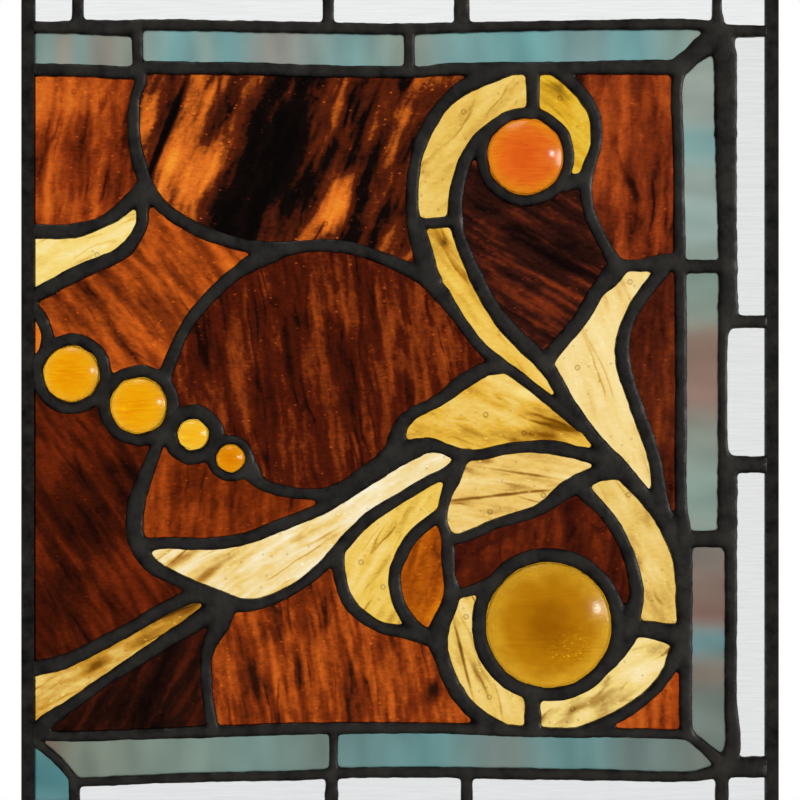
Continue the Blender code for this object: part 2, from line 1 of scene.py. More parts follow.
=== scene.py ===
"""Leaded stained glass panel with an acanthus scroll, laid out as an add-on and run as a script."""

import math

import bmesh
import bpy
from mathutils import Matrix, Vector, kdtree, noise


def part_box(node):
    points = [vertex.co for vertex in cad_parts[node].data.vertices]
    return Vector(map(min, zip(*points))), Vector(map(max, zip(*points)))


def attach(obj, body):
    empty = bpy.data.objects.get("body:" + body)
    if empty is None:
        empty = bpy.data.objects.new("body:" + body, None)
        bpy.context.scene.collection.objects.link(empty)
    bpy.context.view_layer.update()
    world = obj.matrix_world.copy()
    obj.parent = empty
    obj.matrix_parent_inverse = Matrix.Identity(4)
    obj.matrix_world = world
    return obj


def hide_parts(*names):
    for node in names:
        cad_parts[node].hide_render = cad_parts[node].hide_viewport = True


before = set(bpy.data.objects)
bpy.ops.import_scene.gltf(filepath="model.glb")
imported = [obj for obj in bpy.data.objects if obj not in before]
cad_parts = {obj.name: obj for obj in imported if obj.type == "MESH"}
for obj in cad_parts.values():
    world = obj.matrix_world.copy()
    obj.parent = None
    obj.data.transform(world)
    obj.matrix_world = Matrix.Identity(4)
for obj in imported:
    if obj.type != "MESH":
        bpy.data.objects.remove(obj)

bl_info = {
    "name": "Stained Glass Panel",
    "version": (1, 0, 0),
    "blender": (4, 5, 0),
    "location": "View3D > Sidebar > Glazing",
    "description": "Dresses the leaded panel: sheets of glass, pressed jewels, lead came and solder",
    "category": "Object",
}

SIGHT_WIDTH = 0.364
SIGHT_HEIGHT = 0.400
EDGE_FACE = 0.00635
LARGE_JEWEL_DIAMETER = 0.0624
LARGE_JEWEL_RISE = 0.009
SCROLL_JEWEL_DIAMETER = 0.0378
SCROLL_JEWEL_RISE = 0.0065
BEAD_DIAMETER = 0.028
BEAD_RISE = 0.005
SMALL_BEAD_DIAMETER = 0.0154
END_BEAD_DIAMETER = 0.014
SMALL_BEAD_RISE = 0.0035
HALF_GLASS = 0.0015
GLASS_TUCK = 0.0013
HALF_LEAD = 0.003
MM = 0.001

# The squared paper: the sight size is 728 squares wide and 800 squares high, and squares are counted
# from a margin line left of the sight edge, and down from the head.
SQUARES_WIDE = 728
SQUARES_HIGH = 800
MARGIN_SQUARES = 36
USUAL_WIDTH = 13

# Cames of the plain border and of the field's frame: (across, down) or (across, down, width).
FRAME_CAMES = {
    "head_outer": [
        (28, 28.5), (60, 29, 12), (82, 28.5, 15), (128, 29.5, 17), (146, 26.5, 11.5), (250, 28, 12),
        (330, 29.5, 12), (400, 30.5, 12), (460, 29, 11), (560, 27, 10), (640, 26, 11), (700, 26.5, 11),
        (724, 32, 12), (772, 32.5, 12)],
    "head_inner": [
        (28, 71), (90, 72), (130, 74), (144, 69), (180, 69.5), (250, 70), (300, 72), (400, 73.5, 12),
        (418, 73.5, 11), (450, 70.5), (560, 69.5), (640, 68.5, 15), (681, 69, 16)],
    "right_inner": [
        (678, 68), (675.5, 95, 12), (677.5, 150, 11), (678, 210, 12), (679.5, 300, 12), (680, 400, 12),
        (680, 500, 12), (683.5, 545, 16), (683, 600, 17), (684.5, 660), (685, 725), (688, 734)],
    "right_outer_upper": [
        (722, 30, 22), (724, 60, 23), (724.5, 130, 23), (725.5, 200, 20), (726.5, 260, 19),
        (727, 322, 21)],
    "right_outer_middle": [
        (726.5, 318, 19), (722, 335, 10), (721.5, 400, 9.5), (722, 450, 10), (726, 464, 19)],
    "right_outer_lower": [
        (726.5, 464, 20), (726.5, 538, 20), (729.5, 552, 12.5), (729.5, 700, 12.5), (731.5, 745, 16),
        (724, 766, 16)],
    "sill_inner": [
        (28, 730, 14), (60, 735, 10), (140, 733, 11), (200, 731, 12), (250, 729, 12), (330, 727, 12),
        (440, 727, 11), (500, 729, 12), (560, 731.5, 10), (620, 731.5, 10), (688, 733.5, 10)],
    "sill_outer": [
        (75, 781, 9), (100, 780, 9), (200, 776, 10), (300, 774, 10), (345, 771.5, 11), (440, 771, 11),
        (520, 772.5, 12), (600, 773.5, 11), (690, 775, 10), (722, 768, 14)],
    "sill_right": [(722, 766, 21), (772, 765.5, 21)],
    "drop_mitre": [(29, 736, 11), (44, 746, 9), (60, 760, 9), (75.5, 778, 9)],
    "drop_edge": [(75.5, 776, 11), (75.5, 808, 11)],
    "head_mitre": [(676, 70, 19), (716, 36, 23)],
    "sill_mitre": [(688, 734, 10), (704, 747, 12), (725, 766, 15)],
}
BORDER_TIES = {
    "head_tie_1": [(79, -8, 11.5), (79, 27, 11.5)],
    "head_tie_2": [(328.5, -8, 11.5), (328.5, 29, 11.5)],
    "head_tie_3": [(461.5, -8, 15.5), (461.5, 29, 15.5)],
    "head_tie_4": [(716, -8, 10), (716, 14, 10), (718, 32, 14)],
    "right_tie_1": [(726, 322, 13), (772, 322, 13)],
    "right_tie_2": [(722, 464, 17), (772, 464.5, 17)],
    "sill_tie_1": [(332, 772, 12), (331.5, 808, 14)],
    "sill_tie_2": [(466.5, 771, 12), (466.5, 808, 12)],
    "sill_tie_3": [(721, 768, 14), (720.5, 808, 12)],
    "blue_tie_head_1": [(138, 28, 11), (139, 72, 11)],
    "blue_tie_head_2": [(409, 30, 11), (409.5, 73, 11)],
    "blue_tie_right_1": [(679, 267, 13.5), (727, 267, 13.5)],
    "blue_tie_right_2": [(682, 538.5, 17), (727, 538.5, 17)],
    "blue_tie_sill": [(334, 727, 9), (333.5, 773, 9)],
}
# Cames of the scrollwork in the field.
FIELD_CAMES = {
    "vine": [
        (141, 71), (141.5, 82, 12), (136, 100, 11), (134.5, 122), (135.5, 142), (139, 160, 14),
        (146, 182, 15), (157, 201, 15), (175, 217), (200, 231, 14), (225, 240.5), (250, 247),
        (275, 249, 14), (300, 247.5), (325, 246, 12.5), (350, 248.5), (375, 256, 13), (400, 266, 14),
        (420, 276, 16), (437, 290, 18), (453, 311), (468, 332, 12), (482, 349, 12), (497, 362),
        (515, 374, 11), (535, 389.5, 11), (552, 403, 11), (568, 416, 12), (582, 427, 12)],
    "disc_left": [
        (292, 250, 12), (272, 255, 18), (250, 265, 17), (230, 279), (215, 293), (200, 309, 13),
        (190, 322, 12), (181, 338, 12), (174, 355), (167, 372, 14), (165, 378, 14)],
    "disc_under": [
        (249, 468, 21), (259, 481, 14), (270, 487, 12), (285, 491, 12), (303, 493.5, 11), (325, 493.5),
        (345, 486.5, 14), (362, 475, 15), (378, 464, 16), (393, 452, 18)],
    "scroll_outer": [
        (512, 70, 12), (497, 74, 16), (482, 79, 18), (468, 86, 16), (454, 95, 14), (442, 107),
        (432, 121, 14), (424, 136, 14), (418, 152), (414, 172), (412, 192), (412.5, 212, 14),
        (417, 232, 18), (422, 250, 21), (427, 268, 20), (434, 284, 18)],
    "spine": [
        (502, 121, 11), (485, 133, 12), (473, 147, 13), (465, 162, 14), (459, 180, 14), (455.5, 197, 15),
        (455, 215, 16), (457, 230), (461, 243), (468, 260, 14), (477.5, 281, 14), (488, 301, 15),
        (502, 322, 16), (519, 340, 17), (536, 356, 17), (549, 371, 16), (558, 386, 15), (568, 403, 14),
        (580, 420), (592, 436), (606, 452, 14), (615, 463, 18), (628, 478, 17), (643, 495, 15),
        (656, 511, 15), (666, 528, 15), (673, 545), (678, 562, 12), (680, 582, 12)],
    "scroll_tie": [(410, 223, 11), (430, 224, 11), (457, 221.5, 11)],
    "crown_tie": [(532, 68, 15), (532.5, 106, 13), (531, 118, 12)],
    "tip_outer": [
        (549, 68, 12), (563, 78, 12), (575, 88), (585, 100), (593, 114, 12), (595.5, 130, 12),
        (595, 147, 12), (590, 162), (585.5, 178), (585.5, 196, 12), (589, 214, 12), (596, 230, 12),
        (604, 246, 12), (615, 264, 14)],
    "tip_tie": [(562, 186, 14), (586, 179, 15)],
    "right_leaf_tie": [(612, 265), (630, 266, 12), (645, 265.5), (660, 262.5, 17), (680, 264, 18)],
    "right_leaf_top": [
        (619, 266, 20), (607, 280, 20), (596, 292, 15), (588, 306, 15), (578, 322, 15), (566, 336, 15),
        (555, 349, 15), (544, 363, 16)],
    "right_leaf_back": [
        (668, 262, 14), (656, 278, 15), (645, 292, 14), (634, 308, 14), (626, 325, 13), (621.5, 345, 15),
        (622.5, 365, 15), (628, 385, 14), (634, 402, 14), (641, 422, 14), (648, 441), (654, 461),
        (657, 480, 14), (659, 500, 17), (664, 518, 19), (672, 534, 20)],
    "crest_top": [
        (393, 452, 18), (397, 438, 18), (402, 424, 15), (413, 413.5), (430, 405, 12), (445, 396, 14),
        (458, 385, 16), (470, 377.5, 16), (484, 370, 14), (500, 366, 16)],
    "mid_rib": [
        (462, 455, 14), (480, 454.5, 11), (500, 450, 11), (520, 447, 12), (550, 447, 15), (578, 453, 14),
        (606, 459, 18)],
    "long_leaf_top": [
        (141, 545, 14), (165, 542.5, 12), (200, 543.5, 12.5), (225, 542), (250, 537), (275, 527),
        (300, 517.5, 12), (322, 508), (342, 496, 14), (360, 484, 14), (378, 472, 15), (396, 458, 20),
        (413, 449, 21), (430, 445, 15), (445, 449, 12), (464, 457, 14)],
    "long_leaf_under": [
        (464, 458, 13), (445, 473, 11), (430, 480, 12), (400, 498, 11), (385, 507, 12), (370, 517),
        (357, 529), (345, 542, 14), (335, 554), (322, 567, 12), (308, 579, 11), (290, 590.5, 11),
        (272, 599, 11), (255, 604, 12), (238, 604, 15), (222, 598, 15)],
    "long_leaf_end": [
        (164, 434), (158, 446), (150, 466, 14), (144, 482, 16), (138, 500, 18), (135.5, 520, 18),
        (136.5, 536, 18), (142, 551, 17), (154, 566, 15), (175, 577.5), (195, 587, 14), (212, 594, 15),
        (226, 600, 16)],
    "middle_leaf_under": [
        (447, 537, 12), (458, 538.5, 11), (476, 532, 11), (495, 523.5, 11), (515, 517.5, 11),
        (535, 511, 12), (550, 502, 14), (562, 492, 17), (576, 484, 18), (591, 476, 17), (606, 471, 19),
        (622, 474, 15), (638, 488, 12)],
    "stalk": [
        (459, 464, 15), (452, 480, 16), (446, 495, 12), (442, 512, 11), (442, 522, 11), (447, 537, 12),
        (448, 555, 14), (449, 575), (452, 591, 17), (448, 607, 17), (440, 625, 20), (438, 642, 20),
        (443, 660, 15), (450, 679, 15), (463, 700, 15), (480, 716, 15), (502, 728)],
    "curl_outer": [
        (339, 549, 14), (338.5, 565), (341, 580), (345, 594), (353, 607), (366, 618, 12), (382, 627, 11),
        (400, 630.5), (420, 636), (438, 642, 14)],
    "curl_inner": [
        (442, 512, 11), (433, 519), (420, 529), (409, 541), (401, 556), (395, 572, 12), (396, 592),
        (402, 609), (413, 624), (428, 636, 14), (439, 642, 14)],
    "ring_bud": [(450, 592, 14), (463, 592, 10), (478, 587, 11), (494, 580, 11)],
    "ring_inner": [
        (575, 479, 16), (584, 492, 16), (600, 508), (612, 523), (622, 541), (629.5, 560), (634, 577, 14),
        (636, 595, 15), (632, 612, 18), (629, 630, 18), (622, 647, 14), (610, 662, 12), (596, 675, 10)],
    "ring_tie_right": [(626, 628, 16), (650, 629, 17), (668, 633, 20), (684, 634, 24)],
    "ring_tie_sill": [(532, 692, 17), (532.5, 731, 17)],
    "ring_outer": [
        (683, 644, 18), (676, 655, 20), (667, 671, 12), (656, 686, 12), (642, 699, 12), (625, 711, 12),
        (603, 722, 12), (578, 731, 10)],
    "left_leaf_top": [
        (28, 231.5, 16), (60, 232.5, 14.5), (80, 230.5, 15), (100, 224, 12), (115, 216), (128, 205, 16),
        (144, 190, 18)],
    "left_leaf_under": [
        (147, 193, 14), (143.5, 212, 12), (143, 224), (137, 237), (128, 249, 14), (115, 258, 14),
        (98, 265, 14), (80, 273, 15), (62, 282, 15), (48, 290, 15), (28, 300, 14)],
    "low_leaf_top": [
        (28, 669, 16), (60, 662.5, 15), (84, 652.5, 15), (108, 640, 14), (132, 627.5), (155, 613.5, 14),
        (176, 602.5, 14), (196, 595, 15), (215, 596, 16)],
    "low_leaf_under": [
        (28, 737, 18), (50, 719, 15), (66, 708), (82, 697, 12), (97, 686, 12), (115, 674, 12),
        (135, 661, 14), (155, 648, 14), (175, 635, 16), (193, 624, 18), (210, 612, 18), (226, 601, 16)],
    "low_amber_tie": [
        (231, 604, 16), (222, 622, 18), (212, 640, 15), (207, 658, 11), (207, 680, 12), (209, 700, 11),
        (214, 730, 12)],
}
# Round jewels: centre in squares, diameter, rise of the dome, and the width of the came around it.
JEWELS = {
    "jewel_ring": ((548, 624), LARGE_JEWEL_DIAMETER, LARGE_JEWEL_RISE, 14.5),
    "jewel_scroll": ((525, 157.5), SCROLL_JEWEL_DIAMETER, SCROLL_JEWEL_RISE, 11.5),
    "jewel_edge": ((14, 337.5), BEAD_DIAMETER, BEAD_RISE, 13),
    "bead_1": ((73, 374), BEAD_DIAMETER, BEAD_RISE, 12.5),
    "bead_2": ((140, 405.5), BEAD_DIAMETER, BEAD_RISE, 12.5),
    "bead_3": ((194, 434.5), SMALL_BEAD_DIAMETER, SMALL_BEAD_RISE, 15),
    "bead_4": ((231.5, 458), END_BEAD_DIAMETER, SMALL_BEAD_RISE, 9.5),
}

SQUARE = SIGHT_WIDTH / SQUARES_WIDE
SIGHT_LEFT = -SIGHT_WIDTH / 2
SIGHT_FOOT = EDGE_FACE

# Facets, and how the cames and their rings waver: the share of a half width, waves per metre and how
# far apart the cames lie in the noise.
PROFILE_STEPS = 8
CROWN_FULLNESS = 0.45
CAME_WANDER = ((0.08, 190, 3.7), (0.1, 480, 7.3))
RING_LOBES = 2.2
RING_WOBBLE = 0.7 * MM
NET_REACH = 0.3 * MM
NET_TRIANGLES = 185000
FLOW_ROUNDS = 3
SOLDER_REACH = 1.7
SOLDER_WAVES = 230
LEAD_LUMPS = ((170, 0.10 * MM), (60, 0.12 * MM))
LEAD_ROUGHNESS = 0.44
JEWEL_STEPS = 16
JEWEL_SPOKES = 64

# The patterns in the glass: the point they are counted from, how they reach through the sheet, and the
# number of the first sheet of each kind.
CORNER = Vector((0.0, 0.0))
DEPTH_REACH = 0.1
SPOT_REACH = 1.7
STREAK_WARP = 0.3
OPAL_DRIFT = 0.12
VEIN_WIDTH = 0.06
UNGLINTED_CELLS = 0.6
EMPTY_CELLS = 0.45
LARGE_SEED_MM = 1.15
SMALL_SEED_MM = 0.5
RIPPLE_MM = 0.6
BUBBLE_SHADE = "958169"
CLEAR_WAVE_SHADE = 0.962
GLASS_IOR = 1.5
AMBER_SEED = 1
YELLOW_SEED = 31
BLUE_SEED = 61
CLEAR_SEED = 81
JEWEL_SEED = 101

# The studio. Each light has its place from the panel's middle, its size and its power in watts.
FLOOR_RADIUS = 1.1
FLOOR_DROP = 0.25
FRAME_TRIM = 2.2 * MM
LIGHTS = (
    ("window_right", (13.2, -8.0, 2.7), 1.2, 330.0),
    ("soft_right", (1.8, -0.25, 0.2), 0.8, 12.0),
    ("soft_head", (-0.3, -0.05, 1.6), 1.0, 5.0),
    ("soft_back", (0.9, 1.1, 0.8), 1.4, 5.0),
)

# The sheets of glass. Each pane has the colours of its streaks from dark to bright, the angle that the
# streaks run at, their length and width in mm, how strongly they show, and soft spots that are lighter
# or darker: (across, down, reach across, reach down, turn in degrees, lift).
AMBER_LOOKS = {
    "amber_top_left": dict(
        dark="3C1307", mid="8A3411", bright="CC5E1D", angle=82, streak=(46, 6), lift=0.04,
        spots=[(55, 95, 30, 40, 0, 0.2), (128, 120, 22, 60, 0, -0.32), (92, 90, 30, 22, 0, 0.2),
               (60, 200, 34, 26, 0, 0.22), (85, 150, 14, 40, 20, -0.2), (118, 185, 18, 20, 0, -0.15)]),
    "amber_top_middle": dict(
        dark="130B09", mid="5E230E", bright="E07022", angle=68, streak=(50, 8), lift=-0.08, contrast=1.08,
        spots=[(186, 128, 26, 80, -20, 0.45), (200, 185, 30, 46, -20, 0.3), (280, 140, 34, 110, -22, -0.7),
               (238, 215, 20, 50, -20, -0.6), (340, 207, 13, 30, -14, 0.85), (334, 112, 9, 40, -22, 0.08),
               (378, 135, 22, 60, -20, -0.2), (365, 190, 8, 50, -16, -0.4), (312, 190, 10, 46, -18, -0.4),
               (400, 180, 30, 80, -10, -0.15), (224, 112, 10, 44, -24, -0.4), (170, 124, 3.5, 56, -22, -1.2),
               (147, 112, 14, 44, -14, 0.55), (171, 165, 9, 30, -16, 0.35)]),
    "amber_scroll_heart": dict(
        dark="180B09", mid="371710", bright="7A2F14", angle=-30, streak=(50, 4), lift=-0.02,
        spots=[(560, 300, 40, 20, 30, 0.22), (500, 225, 30, 14, 30, 0.16), (520, 200, 50, 14, 0, -0.3),
               (575, 240, 24, 34, 0, -0.25)]),
    "amber_top_right": dict(
        dark="33120B", mid="7C2F13", bright="B44E1C", angle=88, streak=(44, 7), lift=0.02,
        spots=[(600, 100, 18, 30, 0, 0.2), (655, 95, 18, 40, 0, 0.12), (640, 150, 26, 46, 0, -0.12)]),
    "amber_right_sliver": dict(
        dark="2A0E09", mid="582110", bright="8C3B16", angle=85, streak=(50, 6), lift=0.0,
        spots=[(650, 330, 20, 40, 0, -0.15), (668, 470, 12, 50, 0, 0.1)]),
    "amber_mid_left": dict(
        dark="3A1409", mid="84350F", bright="CC5C1A", angle=-50, streak=(46, 6), lift=0.16,
        spots=[(210, 262, 40, 26, 0, 0.22), (120, 290, 40, 22, -35, 0.1), (165, 230, 20, 20, 0, 0.15),
               (60, 320, 26, 16, 0, -0.12), (150, 340, 22, 18, 0, -0.1)]),
    "amber_left": dict(
        dark="230C07", mid="461708", bright="70260C", angle=-58, streak=(44, 5), lift=0.0,
        spots=[(60, 420, 26, 40, 0, 0.2), (120, 560, 40, 26, -20, 0.2), (60, 560, 24, 60, 0, -0.2),
               (135, 480, 20, 50, 0, -0.2)]),
    "amber_disc": dict(
        dark="210C07", mid="521A0A", bright="A04517", angle=98, streak=(44, 4.5), lift=-0.03, contrast=0.75,
        spots=[(203, 350, 16, 40, 8, -0.25), (288, 320, 16, 70, 6, -0.3), (420, 325, 40, 70, 0, 0.16),
               (330, 300, 40, 50, 0, 0.08), (360, 375, 10, 40, 4, -0.2), (245, 425, 20, 30, 0, 0.12),
               (320, 420, 30, 40, 0, 0.05)]),
    "amber_under_beads": dict(
        dark="391207", mid="742A0B", bright="AA4714", angle=84, streak=(34, 6), lift=0.06,
        spots=[(165, 500, 16, 34, 0, 0.16), (250, 520, 60, 14, 0, 0.1), (205, 470, 24, 16, 0, -0.14)]),
    "amber_bottom_middle": dict(
        dark="33150B", mid="7F300E", bright="C45A1B", angle=98, streak=(50, 5), lift=0.1,
        spots=[(226, 690, 11, 40, 3, 0.3), (250, 665, 4.5, 46, 16, -0.5), (266, 682, 5, 44, 15, -0.4),
               (284, 690, 8, 40, 14, 0.25), (320, 655, 16, 40, 0, 0.1), (352, 680, 11, 50, 6, -0.25),
               (384, 685, 12, 40, 0, 0.2), (432, 690, 7, 12, -10, -0.8), (330, 598, 10, 24, 0, -0.15)]),
    "amber_bottom_left": dict(
        dark="120806", mid="26100A", bright="4E1B0C", angle=60, streak=(40, 6), lift=0.0,
        spots=[(190, 690, 16, 40, 0, 0.2), (120, 705, 40, 14, 0, -0.2)]),
    "amber_leaf_pocket": dict(
        dark="6E2B08", mid="A34B0A", bright="C8680F", angle=70, streak=(24, 6), lift=0.1, spots=[]),
    "amber_crescent": dict(
        dark="37110A", mid="521C0C", bright="82300F", angle=80, streak=(20, 7), lift=0.0,
        spots=[(500, 520, 30, 14, 0, 0.16), (570, 525, 8, 30, 0, -0.3), (610, 570, 20, 24, 0, -0.1)]),
    "amber_corner": dict(
        dark="5A210E", mid="A54414", bright="C9601F", angle=88, streak=(34, 5), lift=0.04, spots=[]),
}
YELLOW_LOOKS = {
    "leaf_upper_left": dict(
        dark="D6A348", mid="FADA78", bright="FFEBAA", angle=22, streak=(30, 5), lift=0.1,
        spots=[(50, 285, 30, 12, 0, -0.25), (60, 250, 40, 10, 0, 0.2)]),
    "scroll_crown": dict(
        dark="B98A32", mid="EBC05A", bright="F9DA80", angle=42, streak=(26, 6), lift=0.0,
        spots=[(430, 200, 16, 30, 0, 0.2), (490, 95, 30, 12, 0, 0.15)]),
    "scroll_tip": dict(
        dark="B4841A", mid="E4B02A", bright="F0CB4C", angle=-42, streak=(30, 5), lift=0.05,
        spots=[(556, 95, 14, 14, 0, -0.2), (585, 120, 14, 24, 0, 0.15)]),
    "stem": dict(
        dark="B87C20", mid="EFC14C", bright="FCD878", angle=-52, streak=(34, 5), lift=0.05,
        spots=[(440, 240, 16, 14, 0, -0.3), (470, 300, 16, 16, 0, -0.12)]),
    "leaf_right": dict(
        dark="D0A050", mid="F6D584", bright="FFE8A8", angle=-70, streak=(40, 6), lift=0.12,
        spots=[(625, 420, 20, 50, -20, 0.15), (600, 300, 20, 30, 0, 0.05)]),
    "leaf_crest": dict(
        dark="98600C", mid="EAB740", bright="FBDB80", angle=-22, streak=(34, 5), lift=0.08,
        spots=[(545, 432, 44, 12, 8, -0.55), (470, 433, 40, 8, 0, -0.25), (500, 400, 40, 16, 0, 0.2)]),
    "leaf_middle": dict(
        dark="9E6A22", mid="EEC468", bright="FBE098", angle=-8, streak=(40, 4), lift=0.1,
        spots=[(521, 473, 44, 1.5, -9, -0.6), (500, 495, 50, 1.5, 6, -0.7), (462, 501, 12, 5, 0, -0.4),
               (480, 517, 30, 6, 12, -0.15), (540, 462, 40, 6, -6, -0.15)]),
    "leaf_long": dict(
        dark="B47C2C", mid="F3D07A", bright="FFF3CE", angle=33, streak=(46, 5), lift=0.22, contrast=1.3,
        spots=[(180, 560, 24, 6, 38, -0.45), (205, 575, 26, 5, 40, -0.3),
               (380, 490, 50, 16, 30, 0.2), (270, 560, 40, 14, 20, 0.15)]),
    "leaf_curl": dict(
        dark="A87422", mid="F0C654", bright="FCDE8C", angle=58, streak=(36, 5), lift=0.06,
        spots=[(375, 550, 14, 40, -30, 0.15), (400, 525, 30, 7, 35, -0.12), (395, 620, 20, 8, 0, -0.15)]),
    "ring_right": dict(
        dark="B07C28", mid="EBC466", bright="F8DC90", angle=-60, streak=(24, 7), lift=0.02,
        spots=[(655, 600, 18, 20, 0, -0.2), (620, 510, 20, 14, 0, 0.2)]),
    "ring_bottom": dict(
        dark="A87A2C", mid="F5D67E", bright="FFEBB4", angle=30, streak=(24, 6), lift=0.04,
        spots=[(600, 700, 10, 16, -20, -0.25), (570, 712, 5, 14, -24, -0.2), (640, 670, 20, 16, 0, 0.2)]),
    "ring_left": dict(
        dark="A0722A", mid="EEC764", bright="F9DC90", angle=-68, streak=(36, 4), lift=0.04,
        spots=[(462, 655, 1.6, 46, 14, -0.8), (456, 640, 4, 30, 10, -0.15), (500, 700, 24, 18, 0, 0.2)]),
    "leaf_lower_left": dict(
        dark="845010", mid="CC9430", bright="F9DA7C", angle=25, streak=(40, 5), lift=-0.04, contrast=1.3,
        spots=[(60, 690, 34, 24, 0, 0.4), (97, 664, 14, 4.5, 30, -0.9), (140, 640, 22, 4, 28, -0.6),
               (190, 612, 34, 12, 0, -0.3)]),
}
# How strongly the sheets are mottled and veined, how bright the painted glints are that fleck them, and how
# much the broad streaks differ.
AMBER_GRAIN = dict(contrast=0.88, mottle=0.5, veins=0.35, glint_flecks=0.55, cloud=0.4, ragged=0.5)
YELLOW_GRAIN = dict(contrast=0.62, mottle=0.32, veins=0.45, glint_flecks=0.4, cloud=0.25, ragged=0.8)
# Opalescent strips: colours in order along the strip, with the place of each from 0 to 1, from left to
# right or from top to bottom.
BLUE_LOOKS = {
    "blue_top_1": [(0.0, "8DABA4"), (0.2, "93ABA3"), (0.34, "A39F93"), (0.48, "92AAA3"), (0.7, "A19B90"),
                   (0.85, "9CA195"), (1.0, "97A096")],
    "blue_top_2": [(0.0, "9EAFA6"), (0.15, "82B1B0"), (0.24, "94AEA8"), (0.33, "82B2B2"), (0.5, "A2A29A"),
                   (0.8, "88AFAC"), (1.0, "9CA99C")],
    "blue_top_3": [(0.0, "9BA99F"), (0.18, "85B0AF"), (0.4, "7CB3B3"), (0.6, "8BA9A8"),
                   (0.75, "81B4B5"), (0.9, "93AEA6"), (1.0, "9CA799")],
    "blue_right_1": [(0.0, "A2AEA4"), (0.3, "A3B0A7"), (0.45, "91BAB7"), (0.6, "A0B1A8"),
                     (0.8, "A5BBB5"), (1.0, "9BACA1")],
    "blue_right_2": [(0.0, "8CA297"), (0.15, "94A497"), (0.3, "997F71"), (0.5, "A5877B"),
                     (0.62, "99A195"), (0.85, "98AEA3"), (1.0, "A0AEA2")],
    "blue_right_3": [(0.0, "8A847B"), (0.2, "917B6F"), (0.33, "97796D"), (0.45, "7CA0A1"),
                     (0.6, "8B8175"), (0.75, "828F87"), (1.0, "7C8880")],
    "blue_bottom_1": [(0.0, "8B7263"), (0.15, "899385"), (0.5, "8CA095"), (0.75, "85A199"),
                      (1.0, "81948C")],
    "blue_bottom_2": [(0.0, "799C9A"), (0.25, "74A2A1"), (0.45, "889791"), (0.6, "74A09E"),
                      (0.8, "7C8F8A"), (1.0, "828B83")],
    "blue_left_drop": [(0.0, "699999"), (0.5, "598F93"), (1.0, "689799")],
}
CLEAR_LOOKS = {
    "top": "F3F4F4", "right": "E9EAEA", "bottom": "E9EAEB",
}
JEWEL_LOOKS = {
    "jewel_ring": dict(centre="9A5C04", middle="B8790A", rim="E2A828", ripple_shading=0.16, glints=0.9),
    "jewel_scroll": dict(centre="DE5B17", middle="E4681A", rim="EF8A1A", ripple_shading=0.5, glints=0.2),
    "jewel_edge": dict(centre="D4601A", middle="DC6A1C", rim="E07A22", ripple_shading=0.4, glints=0.0),
    "bead_1": dict(centre="EE9604", middle="F2A008", rim="F6B028", ripple_shading=0.35, glints=0.15),
    "bead_2": dict(centre="F09C04", middle="F4A40A", rim="F7B42C", ripple_shading=0.35, glints=0.15),
    "bead_3": dict(centre="F8B01C", middle="F9B826", rim="FBC64A", ripple_shading=0.35, glints=0.15),
    "bead_4": dict(centre="DC7C04", middle="E48C08", rim="EA9C1C", ripple_shading=0.35, glints=0.15),
}


def linear_colour(code):
    """An sRGB hex code as linear red, green and blue with an alpha of one."""
    channels = [int(code[i:i + 2], 16) / 255 for i in (0, 2, 4)]
    return (*[c / 12.92 if c <= 0.04045 else ((c + 0.055) / 1.055) ** 2.4 for c in channels], 1.0)


def tinted(code, *factors):
    """An sRGB hex code with its red, green and blue multiplied by factors."""
    return "".join(f"{min(255, round(int(code[2 * i:2 * i + 2], 16) * factors[i])):02X}" for i in range(3))


def on_panel(across, down):
    """A point of the squared paper as (x, z) on the panel."""
    return Vector((SIGHT_LEFT + (across - MARGIN_SQUARES) * SQUARE,
                   SIGHT_FOOT + (SQUARES_HIGH - down) * SQUARE))


def add_node(tree, kind, links=None, stops=None, ease=False, **settings):
    """One shader node: its settings, its sockets fed from values or sockets, and a colour ramp's stops.

    A stop is a place and a colour, as a hex code or linear. Returns the node's outputs.
    """
    node = tree.nodes.new("ShaderNode" + kind)
    for key, value in settings.items():
        setattr(node, key, value)
    for key, value in (links or {}).items():
        if isinstance(value, bpy.types.NodeSocket):
            tree.links.new(value, node.inputs[key])
        else:
            node.inputs[key].default_value = value
    if stops:
        node.color_ramp.interpolation = "EASE" if ease else "LINEAR"
        elements = node.color_ramp.elements
        elements[0].position, elements[1].position = stops[0][0], stops[-1][0]
        for place, _ in stops[1:-1]:
            elements.new(place)
        for element, (_, colour) in zip(elements, stops):
            element.color = linear_colour(colour) if isinstance(colour, str) else colour
    return node.outputs


def start_material(name, **values):
    """A material whose shader has its plain sockets set. Returns it, its nodes and the shader's inputs."""
    material = bpy.data.materials.new(name)
    material.use_nodes = True
    inputs = material.node_tree.nodes["Principled BSDF"].inputs
    for key, value in values.items():
        inputs[key.replace("_", " ")].default_value = value
    return material, material.node_tree, inputs


def lay_surface(tree, inputs, colour, height, strength, depth):
    """Feed a shader its colour and the relief of its surface, whose depth is in mm."""
    bump = add_node(tree, "Bump", {"Strength": strength, "Distance": depth * MM, "Height": height})
    tree.links.new(colour, inputs["Base Color"])
    tree.links.new(bump["Normal"], inputs["Normal"])


def on_plane(tree, centre, turn, across, up):
    """Object coordinates from a point of the panel, turned in its plane and divided by two lengths."""
    return add_node(tree, "Mapping", {
        "Vector": add_node(tree, "TexCoord")["Object"], "Location": (centre.x, 0.0, centre.y),
        "Rotation": (0.0, -math.radians(turn), 0.0), "Scale": (across, DEPTH_REACH, up),
    }, vector_type="TEXTURE")["Vector"]


